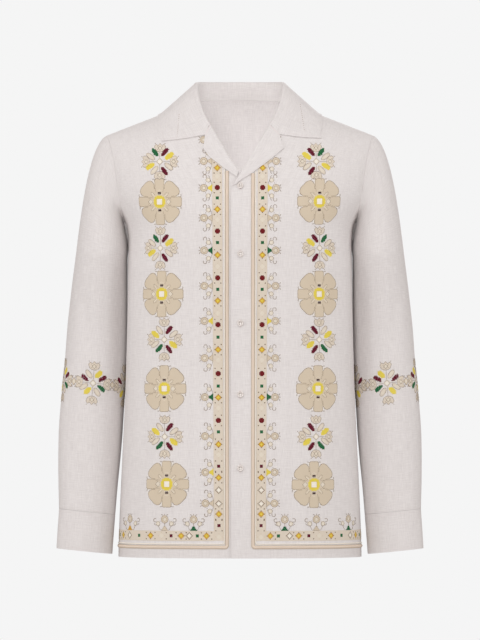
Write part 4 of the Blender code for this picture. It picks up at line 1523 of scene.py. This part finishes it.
def mark_colour(mark, i, j):
    """Colour of one stitch of a band's mark, or None on its ground."""
    reach = abs(i) + abs(j)
    if mark in ("green", "maroon"):
        if max(abs(i), abs(j)) <= 1:
            return mark
        return "cream" if max(abs(i), abs(j)) == 2 and reach == 2 else None
    if mark == "open":
        return "tan" if reach == 3 else "ivory" if reach < 3 else None
    if mark == "ivory":
        return "cream" if reach <= 2 else "beige" if reach == 3 and i * j == 0 else None
    far = i * i + j * j
    if mark == "red":
        return "red" if far <= 5 else None
    return "yellow" if far <= 1 else "gold" if far <= 5 else "tan" if far == 9 else None


def front_skin(side):
    """Surface of one front, by distance from the centre line and height."""
    lines = []
    for z in FRONT_SKIN_ROWS:
        reach = read(BODY, z).half_width * MM if z * MM < CHEST_Z else armhole_edge(z * MM)
        across = [-LAP, -LAP / 2] + [reach * toward_side(k, SKIN_STEPS) for k in range(SKIN_STEPS + 1)]
        lines.append([front_point(side, a, z * MM) for a in across])
    skin = Skin([z * MM for z in FRONT_SKIN_ROWS], lines, [2] * len(lines))
    skin.face_out([Vector((0, 0, z * MM)) for z in FRONT_SKIN_ROWS])
    return skin


def sleeve_skin(side):
    """Surface of one sleeve, by distance from its front towards the body and height."""
    angles = list(range(90, 451, 4)) + [450]
    lines, middles = [], []
    for z in SLEEVE_SKIN_ROWS:
        station = read(SLEEVE, z)
        lines.append(sleeve_ring(side, station, [angle % 360 for angle in angles]))
        middles.append(Vector((side * (station.outer + station.inner) / 2, station.centre_y, z)) * MM)
    skin = Skin([z * MM for z in SLEEVE_SKIN_ROWS], lines, [0] * len(lines), loop=True)
    skin.face_out(middles)
    return skin


def panel_normals(grid, flip, side_columns, shoulder_columns):
    """Normals of a body panel, level along its side and shoulder seams."""
    normals = grid_normals(grid, flip)
    places = [(i, j) for i in range(len(LOW_ROWS)) for j in side_columns]
    places += [(-1, j) for j in shoulder_columns]
    for i, j in places:
        normals[i][j].y = 0
        normals[i][j].normalize()
    return normals


def column(grid, j):
    return [row[j] for row in grid]


def beside(line, inner, normals):
    """Places of a topstitch in from an edge, towards the line of points inside it."""
    return [(p + (q - p).normalized() * TOPSTITCH, n) for p, q, n in zip(line, inner, normals)]


def beside_column(grid, normals, j, inner):
    return beside(column(grid, j), column(grid, inner), column(normals, j))


def add_front(side, cloth, seams):
    grid = front_grid(side, FRONT_COLUMNS, LOW_ROWS, CLIMBS)
    normals = panel_normals(grid, side, [-1], range(len(grid[0])))
    piece = shell(f"front_{SIDE_NAMES[side]}_cloth", grid, normals, SHOWN_CLOTH, cloth,
                  [f"front_{SIDE_NAMES[side]}"])
    low = slice(1, len(LOW_ROWS))
    seams.seam(beside_column(grid[low], normals[low], 0, 1), SEAM_PITCH)
    reach = read(BODY, HEM_SEAM / MM).half_width * MM
    hem = [-LAP * 0.8] + [reach * toward_side(k, SEAM_STEPS) for k in range(SEAM_STEPS)]
    seams.seam([(front_point(side, a, HEM_SEAM), front_normal(side, a, HEM_SEAM)) for a in hem], SEAM_PITCH)
    return grid, normals


def add_back(cloth, seams):
    grid = back_grid(BACK_NECK_COLUMNS, BACK_SIDE_COLUMNS, LOW_ROWS, CLIMBS)
    shoulder = [j for j, p in enumerate(grid[-1]) if abs(p.x) > NECK_END]
    normals = panel_normals(grid, -1, [0, -1], shoulder)
    piece = shell("back_cloth", grid, normals, SHOWN_CLOTH, cloth, ["back"])
    reach = read(BODY, HEM_SEAM / MM).half_width * MM
    line = []
    for k in range(1 - SEAM_STEPS, SEAM_STEPS):
        x = reach * math.copysign(toward_side(abs(k), SEAM_STEPS), k) * 0.999
        place = back_point(x, HEM_SEAM)
        up = back_point(x, HEM_SEAM + MM) - place
        run = back_point(x + MM * 0.1, HEM_SEAM) - back_point(x - MM * 0.1, HEM_SEAM)
        line.append((place, up.cross(run).normalized()))
    seams.seam(line, SEAM_PITCH)
    low = slice(1, len(LOW_ROWS))
    for j, inner in ((0, 1), (-1, -2)):
        seams.seam(beside_column(grid[low], normals[low], j, inner), SEAM_PITCH)
    top = beside(grid[-1], grid[-2], normals[-1])
    for part in (shoulder[:len(shoulder) // 2], shoulder[len(shoulder) // 2:]):
        seams.seam([top[j] for j in part], SEAM_PITCH)
    return grid, normals


def add_sleeve(side, front, back, cloth, seams):
    points, normals = armhole_ring(side, front, back)
    count = len(points)
    angles = [360 * i / count for i in range(count)]
    full = [sleeve_ring(side, read(SLEEVE, z), angles) for z in SLEEVE_ROWS]
    for point in full[-1]:
        point.z += SEAM
    rings = cap_rings(side, points, normals, full[0]) + full
    ring_normals = grid_normals(rings, side, ring=True)
    ring_normals[0] = normals
    lie_in_cuff_plane(side, ring_normals[-1])
    name = f"sleeve_{SIDE_NAMES[side]}"
    piece = shell(f"{name}_cloth", rings, ring_normals, SHOWN_CLOTH, cloth, [name], ring=True)
    around = list(range(count)) + [0]
    seams.seam([(rings[0][j].lerp(rings[1][j], ARMHOLE_STITCH),
                 ring_normals[0][j].lerp(ring_normals[1][j], ARMHOLE_STITCH)) for j in around], SEAM_PITCH)
    up = Vector((0, 0, CUFF_STITCH))
    seams.seam([(rings[-1][j] + up, ring_normals[-1][j]) for j in around], FINE_PITCH)


def add_cuff(side, cloth, seams):
    steps = CUFF_COLUMNS
    sweep = 360 + CUFF_LAP_ANGLE
    angles = [(CUFF_LAP_START + sweep * k / steps) % 360 for k in range(steps + 1)]
    rows = []
    for z in CUFF_ROWS:
        station = read(CUFF, z)
        ring = sleeve_ring(side, station, angles)
        centre = Vector((side * (station.outer + station.inner) / 2, station.centre_y, station.z)) * MM
        for k, point in enumerate(ring):
            out = Vector((point.x - centre.x, point.y - centre.y, 0)).normalized()
            out.z = SLEEVE_TILT * side * out.x
            lapped = smooth((k / steps * sweep - CUFF_LAP_AT) / CUFF_LAP_ANGLE)
            ring[k] = point + out * (CLOTH + LAY) * lapped
        rows.append(ring)
    normals = grid_normals(rows, side)
    lie_in_cuff_plane(side, normals[0])
    name = f"cuff_{SIDE_NAMES[side]}"
    piece = shell(f"{name}_cloth", rows, normals, SHOWN_CLOTH, cloth, [name])
    for i in (2, len(rows) - 3):
        seams.seam(list(zip(rows[i], normals[i])), FINE_PITCH)
    seams.seam(beside_column(rows, normals, -1, -2), FINE_PITCH)
    seat, place = CUFF_ROWS.index(CUFF_SEAT_Z), steps - CUFF_BUTTON_IN
    return rows[seat][place], normals[seat][place]


def add_lapel(side, cloth, seams):
    """Turned-back lapel with its fold closed round the front's edge."""
    rows = []
    for row in refine(refine(LAPELS[side])):
        roll = straight(FRONT_EDGE, row.roll_z)
        points = []
        top, low = LAY + COLLAR_CLOTH, -SHOWN_CLOTH * 0.5
        for k in range(FOLD_STEPS):
            turn = math.pi * (k / FOLD_STEPS - 0.5)
            across = roll * MM - math.cos(turn) * (top - low) / 2
            lift = (top + low) / 2 + math.sin(turn) * (top - low) / 2
            points.append(on_front(side, across, row.roll_z * MM, lift))
        for k in range(LAPEL_SPREAD + 1):
            share = k / LAPEL_SPREAD
            points.append(on_front(side, (roll + (row.edge_across - roll) * share) * MM,
                                   (row.roll_z + (row.edge_z - row.roll_z) * share) * MM, top))
        rows.append(points)
    normals = grid_normals(rows, side)
    name = f"lapel_{SIDE_NAMES[side]}"
    piece = shell(f"{name}_cloth", rows, normals, COLLAR_CLOTH * 0.8, cloth, [name])
    seams.seam(beside_column(rows, normals, -1, -2), FINE_PITCH)
    gorge = [(p + (p - q).normalized() * SEAM / 2, n)
             for p, q, n in list(zip(rows[-1], rows[-2], normals[-1]))[FOLD_STEPS:]]
    seams.ridge(gorge, GORGE_WIDTH, GORGE_HEIGHT)


def add_collar(cloth, seams):
    right, left = half_collar(RIGHT), half_collar(LEFT)
    rows = right[::-1] + left[1:]
    normals = grid_normals(rows, -1)
    piece = shell("collar_cloth", rows, normals, COLLAR_CLOTH, cloth, ["collar"])
    seams.seam(beside_column(rows, normals, -1, -2), FINE_PITCH)
    for end, inner in ((0, 1), (-1, -2)):
        seams.seam(beside(rows[end], rows[inner], normals[end])[ROLL_END + 4:], FINE_PITCH)
    return piece


def add_hemstitch(collar, materials):
    """Drawn-thread lines down the collar: a row of small holes, drawn as flat tan marks of painted shade,
    with a bar of thread each side.
    """
    tree = BVHTree.FromPolygons([v.co for v in collar.data.vertices],
                                [tuple(p.vertices) for p in collar.data.polygons])
    stitches = Stitches("collar_hemstitch")
    for line in HEMSTITCH:
        for (x0, z0), (x1, z1) in zip(line, line[1:]):
            steps = round(math.hypot(x1 - x0, z1 - z0) / HEMSTITCH_PITCH)
            for k in range(steps):
                x, z = x0 + (x1 - x0) * k / steps, z0 + (z1 - z0) * k / steps
                place, normal, _, _ = tree.ray_cast(Vector((x * MM, -1, z * MM)), Vector((0, 1, 0)))
                if place is None:
                    continue
                down = Vector((0, 0, -1))
                down = (down - normal * down.dot(normal)).normalized()
                side = normal.cross(down)
                # Each step: a short flat tan mark in the middle, painted shade standing for the hole, and a
                # cloth-coloured bar each side
                for across, reach, width, height, colour in HEMSTITCH_BARS_AND_HOLE_SHADE:
                    middle = place + side * across * MM
                    stitches.strand(middle - down * reach * MM, middle + down * reach * MM, normal,
                                    width * MM, height * MM, colour)
    return stitches.build(materials)


def cord_mesh(points, faces, path, radius, sides=6):
    """Add a round cord along a path of (place, normal) pairs to lists of points and faces."""
    base = len(points)
    for k, (place, normal) in enumerate(path):
        ahead = path[min(k + 1, len(path) - 1)][0] - path[max(k - 1, 0)][0]
        side = normal.cross(ahead).normalized()
        for n in range(sides):
            turn = 2 * math.pi * n / sides
            points.append(place + side * math.cos(turn) * radius + normal * math.sin(turn) * radius)
    for k in range(len(path) - 1):
        for n in range(sides):
            a, b = base + k * sides + n, base + k * sides + (n + 1) % sides
            faces.append((a, b, b + sides, a + sides))
    faces.append(tuple(base + n for n in range(sides))[::-1])
    faces.append(tuple(base + (len(path) - 1) * sides + n for n in range(sides)))


def edging_route(side, skin, across, height):
    """Distances and heights down one front, round a small corner and along the hem to the side."""
    top = straight(lapel_line(side), across / MM) * MM - EDGING_TOP_CLEAR
    s0 = skin.across_at(across, height)
    end = skin.end_at(np.array([height]))[0] - EDGING_SIDE_CLEAR
    fall, run = top - height - CORNER_ROUND, end - s0 - CORNER_ROUND
    steps = int(fall / MM)
    route = [(s0, top - fall * k / steps) for k in range(steps)]
    for k in range(7):
        turn = math.pi / 2 * k / 6
        route.append((s0 + CORNER_ROUND * (1 - math.cos(turn)), height + CORNER_ROUND * (1 - math.sin(turn))))
    steps = int(run / MM)
    return route + [(s0 + CORNER_ROUND + run * k / steps, height) for k in range(1, steps + 1)]


def add_edging(side, skin, materials):
    """Braid of three plaited cords between two thin edge cords, whose darker tone is painted shade along the
    braid's edges, with a twisted ivory cord beside it.
    """
    points, faces, slots = [], [], []

    def lay(route, offset, lift, radius, slot, sides=6):
        s = np.array([r[0] for r in route])
        z = np.array([r[1] for r in route])
        along_s, along_z = np.gradient(s), np.gradient(z)
        length = np.hypot(along_s, along_z)
        s2, z2 = s - along_z / length * offset, z + along_s / length * offset
        places = skin.points(s2, z2, lift)
        above = skin.points(s2, z2, lift + MM)
        before = len(faces)
        path = [(Vector(p), Vector(q - p).normalized()) for p, q in zip(places, above)]
        cord_mesh(points, faces, path, radius, sides)
        slots.extend([slot] * (len(faces) - before))

    middle = (BRAID_OUTER + BRAID_INNER) / 2
    route = edging_route(side, skin, middle, (BRAID_LOW_Z + BRAID_HIGH_Z) / 2)
    walk = np.arange(len(route)) * 1.0
    for strand in range(3):
        phase = 2 * math.pi * (walk / PLAIT_PITCH + strand / 3)
        lay(route, np.sin(phase) * CORD_REACH, (0.95 + 0.4 * np.cos(2 * phase)) * MM, CORD_RADIUS, 0)
    # Thin cords along both edges, a tone darker than the braid: painted shade along its edges
    for edge in (-1, 1):
        offset, lift = np.full(len(route), edge * EDGE_CORD_AT), np.full(len(route), EDGE_CORD_LIFT)
        lay(route, offset, lift, EDGE_CORD_RADIUS, 1, 5)
    ivory = edging_route(side, skin, IVORY_ACROSS, IVORY_Z)
    walk = np.arange(len(ivory)) * 1.0
    for strand in range(2):
        phase = 2 * math.pi * (walk / IVORY_PITCH + strand / 2)
        lay(ivory, np.sin(phase) * IVORY_REACH, (0.7 + 0.3 * np.cos(phase)) * MM, IVORY_RADIUS, 2, 5)
    name = f"edging_{SIDE_NAMES[side]}"
    mesh = bpy.data.meshes.new(name + "_braid")
    mesh.from_pydata([tuple(p) for p in points], [], faces)
    mesh.shade_smooth()
    for key in ("braid", "braid_edge_painted_shade", "ivory"):
        mesh.materials.append(materials[key])
    mesh.polygons.foreach_set("material_index", slots)
    return new_object(name + "_braid", mesh, [name])


BUTTON_PROFILE = ((0, 0.02), (0.5, 0.0), (0.9, 0.08), (0.985, 0.28), (1.0, 0.5), (0.97, 0.74), (0.9, 0.92),
                  (0.8, 1.0), (0.7, 0.95), (0.6, 0.78), (0.5, 0.68), (0.3, 0.64), (0, 0.63))


def add_button(name, seat, normal, materials, stitches):
    """Round button with a raised rim, a dished middle, its thread, and four holes drawn as flat dark brown
    marks of painted shade.
    """
    spin = normal.to_track_quat("Z", "Y")
    base = seat + normal * SEAM
    shape = bmesh.new()
    rings = []
    for radius, height in BUTTON_PROFILE:
        count = BUTTON_SIDES if radius else 1
        turns = [2 * math.pi * k / BUTTON_SIDES for k in range(count)]
        reach = radius * BUTTON_RADIUS
        rings.append([shape.verts.new(base + spin @ Vector((math.cos(turn) * reach, math.sin(turn) * reach,
                                                            height * BUTTON_THICK))) for turn in turns])
    for low, high in zip(rings, rings[1:]):
        for k in range(BUTTON_SIDES):
            a = (k + 1) % BUTTON_SIDES
            if len(low) == 1:
                corners = (low[0], high[a], high[k])
            elif len(high) == 1:
                corners = (low[k], low[a], high[0])
            else:
                corners = (low[k], low[a], high[a], high[k])
            shape.faces.new(corners)
    bmesh.ops.recalc_face_normals(shape, faces=shape.faces[:])
    mesh = bpy.data.meshes.new(name + "_shell")
    shape.to_mesh(mesh)
    shape.free()
    mesh.shade_smooth()
    mesh.materials.append(materials["shell"])
    new_object(name + "_shell", mesh, [name])
    top = base + normal * BUTTON_THICK * BUTTON_DISH
    side, up = spin @ Vector((1, 0, 0)), spin @ Vector((0, 1, 0))
    # The four holes are flat dark brown marks on the dish: painted shade where the holes are, with the ivory
    # thread laid over them
    for a in (-1, 1):
        for b in (-1, 1):
            hole = top + (side * a + up * b) * HOLE_APART
            stitches.strand(hole - up * HOLE_HALF, hole + up * HOLE_HALF, normal, HOLE_WIDTH, HOLE_LIFT,
                            "brown_and_hole_shade")
        stitches.strand(top + (side * a - up) * THREAD_HALF, top + (side * a + up) * THREAD_HALF, normal,
                        THREAD_WIDTH, THREAD_WIDTH, "ivory")


def add_buttonhole(seat_z, stitches):
    """Upright buttonhole in close stitches, seen above and below its button."""
    for k in range(HOLE_STITCHES):
        z = seat_z + (k - HOLE_STITCHES / 2 + 0.5) * HOLE_PITCH
        place, normal = front_point(LEFT, BUTTON_X, z), front_normal(LEFT, BUTTON_X, z)
        for edge in (-1, 1):
            start, end = (place + Vector((edge * reach, 0, 0)) + normal * 0.05 * MM for reach in HOLE_REACH)
            stitches.strand(start, end, normal, 0.4 * MM, 0.4 * MM, "cloth")


def photo_z(y):
    """Height on the front of a row of the photo's pixels."""
    eye = PHOTO_TOP - PHOTO_ROWS / 2
    return (eye + (PHOTO_TOP - y - eye) * (1 - FRONT_DEPTH / CAMERA_FAR)) * PHOTO_MM


def photo_across(x):
    """Distance from the centre line of a column of the photo's pixels."""
    return abs(x - PHOTO_MIDDLE) * (1 - FRONT_DEPTH / CAMERA_FAR) * PHOTO_MM


def add_column(side, skin, charts, materials):
    """Stars and rosettes down one front."""
    stitches = Stitches(f"embroidery_column_{SIDE_NAMES[side]}")
    for (x, y), kind in zip(COLUMN[side], COLUMN_MOTIFS):
        z = photo_z(y) * MM
        sew(stitches, charts[kind], skin, skin.across_at(photo_across(x) * MM, z), z)
    return stitches.build(materials)


def add_bands(side, skin, charts, materials):
    """Band beside the braid of one front and above its hem, with the sprigs that grow from it."""
    stitches = Stitches(f"embroidery_band_{SIDE_NAMES[side]}")
    lapel = lapel_line(side)
    corner = HEM_BAND_Z
    half = BAND_PITCH * (BAND_HALF + 0.5)
    middle = skin.across_at(BAND_ACROSS * MM, BAND_MIDDLE_Z)

    def under_lapel(across):
        return np.interp(across / MM, column(lapel, 0), column(lapel, 1)) * MM + BAND_HIDDEN

    def on_hem(x):
        return skin.across_at(photo_across(x) * MM, corner * MM)

    marks = [(photo_z(y) - corner, mark) for y, mark in zip(BAND_ROWS, BAND_COLOURS)]
    sew(stitches, band_chart(-half, BAND_TOP_Z - corner, marks), skin, middle, corner * MM,
        frame_of=((-1, BAND_LEAN), (0, 1)), top=under_lapel)
    end = skin.end_at(np.array([corner * MM]))[0] / MM
    marks = [(on_hem(x) / MM - middle / MM, mark) for x, mark in zip(HEM_COLUMNS[side], HEM_COLOURS)]
    last = max(column(marks, 0))
    for mark in HEM_HIDDEN:
        last += HEM_HIDDEN_PITCH
        marks.append((last, mark))
    sew(stitches, band_chart(half, end - middle / MM - 0.4, marks), skin, middle, corner * MM,
        frame_of=((0, 1), (-1, 0)))
    for y, base in SPRIGS:
        z = photo_z(y)
        edge = half + (z - corner) * BAND_LEAN
        sew(stitches, charts["sprig", base], skin, middle + edge * MM, z * MM, frame_of=((0, 1), (1, 0)))
    for x, base in HEM_SPRIGS[side]:
        sew(stitches, charts["hem_sprig", base], skin, on_hem(x), (corner + half) * MM)
    return stitches.build(materials)


def add_sleeve_embroidery(side, skin, charts, materials):
    """Five stars round one sleeve, with a link after each."""
    stitches = Stitches(f"embroidery_sleeve_{SIDE_NAMES[side]}")
    z = (PHOTO_TOP - SLEEVE_BAND_ROW) * PHOTO_MM * MM
    around = float(skin.around(np.array([z]))[0])
    for k in range(SLEEVE_STARS):
        for kind, share in (("sleeve_star", k), ("link", k + 0.5)):
            start = SLEEVE_STARS_START + around * share / SLEEVE_STARS
            sew(stitches, charts[kind], skin, start, z, frame_of=((1, 0), (0, 1)))
    return stitches.build(materials)


def link_chart():
    """Lozenge with four curls that joins two sleeve stars."""
    chart = Chart(STAR_PITCH)
    chart.shape(lozenge(0, 0, 5.6, 6), "beige")
    chart.fill(block(0, 0, 1.8, 1.8), "cream")
    for a in (1, -1):
        for b in (1, -1):
            chart.lace(LINK_LACE, lambda u, v: (a * u, b * v))
    return chart.strands()


def place_object(name, data, location, rotation):
    item = bpy.data.objects.new(name, data)
    item.location = location
    item.rotation_euler = rotation
    bpy.context.scene.collection.objects.link(item)
    return item


def add_camera():
    data = bpy.data.cameras.new("camera")
    data.sensor_width = CAMERA_SENSOR
    data.lens = CAMERA_SENSOR * CAMERA_FAR / (PHOTO_ROWS * PHOTO_MM * MM)
    data.clip_end = CAMERA_REACH
    middle_z = (PHOTO_TOP - PHOTO_ROWS / 2) * PHOTO_MM * MM
    bpy.context.scene.camera = place_object("camera", data, (0, -CAMERA_FAR, middle_z), (math.pi / 2, 0, 0))


def add_light(light):
    data = bpy.data.lights.new(light.name, "AREA")
    data.shape = "DISK"
    data.size = light.size
    data.energy = light.power
    data.color = COOL_LIGHT
    way = Vector(light.target) - Vector(light.place)
    item = place_object(light.name, data, light.place, way.to_track_quat("-Z", "Y").to_euler())
    item.visible_camera = False


def add_world():
    """Near-white ground behind the shirt, and even light from all round."""
    world = bpy.data.worlds.new("studio")
    bpy.context.scene.world = world
    world.use_nodes = True
    tree = world.node_tree
    tree.nodes.clear()
    output = tree.nodes.new("ShaderNodeOutputWorld")
    seen = new_node(tree, "ShaderNodeBackground", {"Color": (*tone(245, 245, 245), 1)}, {})
    around = new_node(tree, "ShaderNodeBackground", {"Color": (*WARM_SHADE, 1), "Strength": WORLD_LIGHT}, {})
    rays = tree.nodes.new("ShaderNodeLightPath")
    mix = new_node(tree, "ShaderNodeMixShader", {}, {
        "Fac": rays.outputs["Is Camera Ray"], 1: around.outputs[0], 2: seen.outputs[0]})
    tree.links.new(mix.outputs[0], output.inputs["Surface"])


def motif_charts():
    charts = {
        "rosette": rosette_chart(), "star_top": star_chart(STAR_A, tall=1), "star_a": star_chart(STAR_A),
        "star_b": star_chart(STAR_B), "sleeve_star": star_chart(SLEEVE_STAR, size=1), "link": link_chart(),
        ("hem_sprig", "outer_green"): sprig_chart("green", 1.4, 18.5),
    }
    for base, spread in (("yellow", 1), ("beige", 1.15), ("green", 1), ("gold", 1.4)):
        charts["sprig", base] = sprig_chart(base, 1.25, 14)
        charts["hem_sprig", base] = sprig_chart(base, spread, 18.5)
    return charts


def build():
    cloth = cloth_material("cotton", tone(214, 208, 206), tone(230, 225, 223))
    materials = {name: thread_material(f"thread_{name}", colour) for name, colour in THREAD_TONES.items()}
    materials["braid"] = thread_material("braid_cord", tone(230, 213, 196))
    # The edge cords take the braid's tone darkened: painted shade along its edges
    materials["braid_edge_painted_shade"] = thread_material("braid_edge_cord_painted_shade", tone(205, 187, 163))
    materials["shell"] = shell_material("pearl_shell")
    charts = motif_charts()
    seams = Stitches("topstitching")
    sewn = Stitches("button_thread_and_hole_shade")
    back = add_back(cloth, seams)
    for side in (RIGHT, LEFT):
        front = add_front(side, cloth, seams)
        skin = front_skin(side)
        add_sleeve(side, front, back, cloth, seams)
        seat, normal = add_cuff(side, cloth, seams)
        add_button(f"cuff_button_{SIDE_NAMES[side]}", seat, normal, materials, sewn)
        add_lapel(side, cloth, seams)
        add_edging(side, skin, materials)
        add_column(side, skin, charts, materials)
        add_bands(side, skin, charts, materials)
        add_sleeve_embroidery(side, sleeve_skin(side), charts, materials)
    collar = add_collar(cloth, seams)
    add_hemstitch(collar, materials)
    for number, z in enumerate(BUTTON_Z, start=1):
        seat = front_point(LEFT, BUTTON_X, z * MM)
        add_button(f"button_{number}", seat, front_normal(LEFT, BUTTON_X, z * MM), materials, sewn)
        add_buttonhole(z * MM, sewn)
    seams.build(materials)
    sewn.build(materials)


build()
add_world()
for light in LIGHTS:
    add_light(light)
add_camera()
bpy.context.scene.view_settings.view_transform = "Standard"
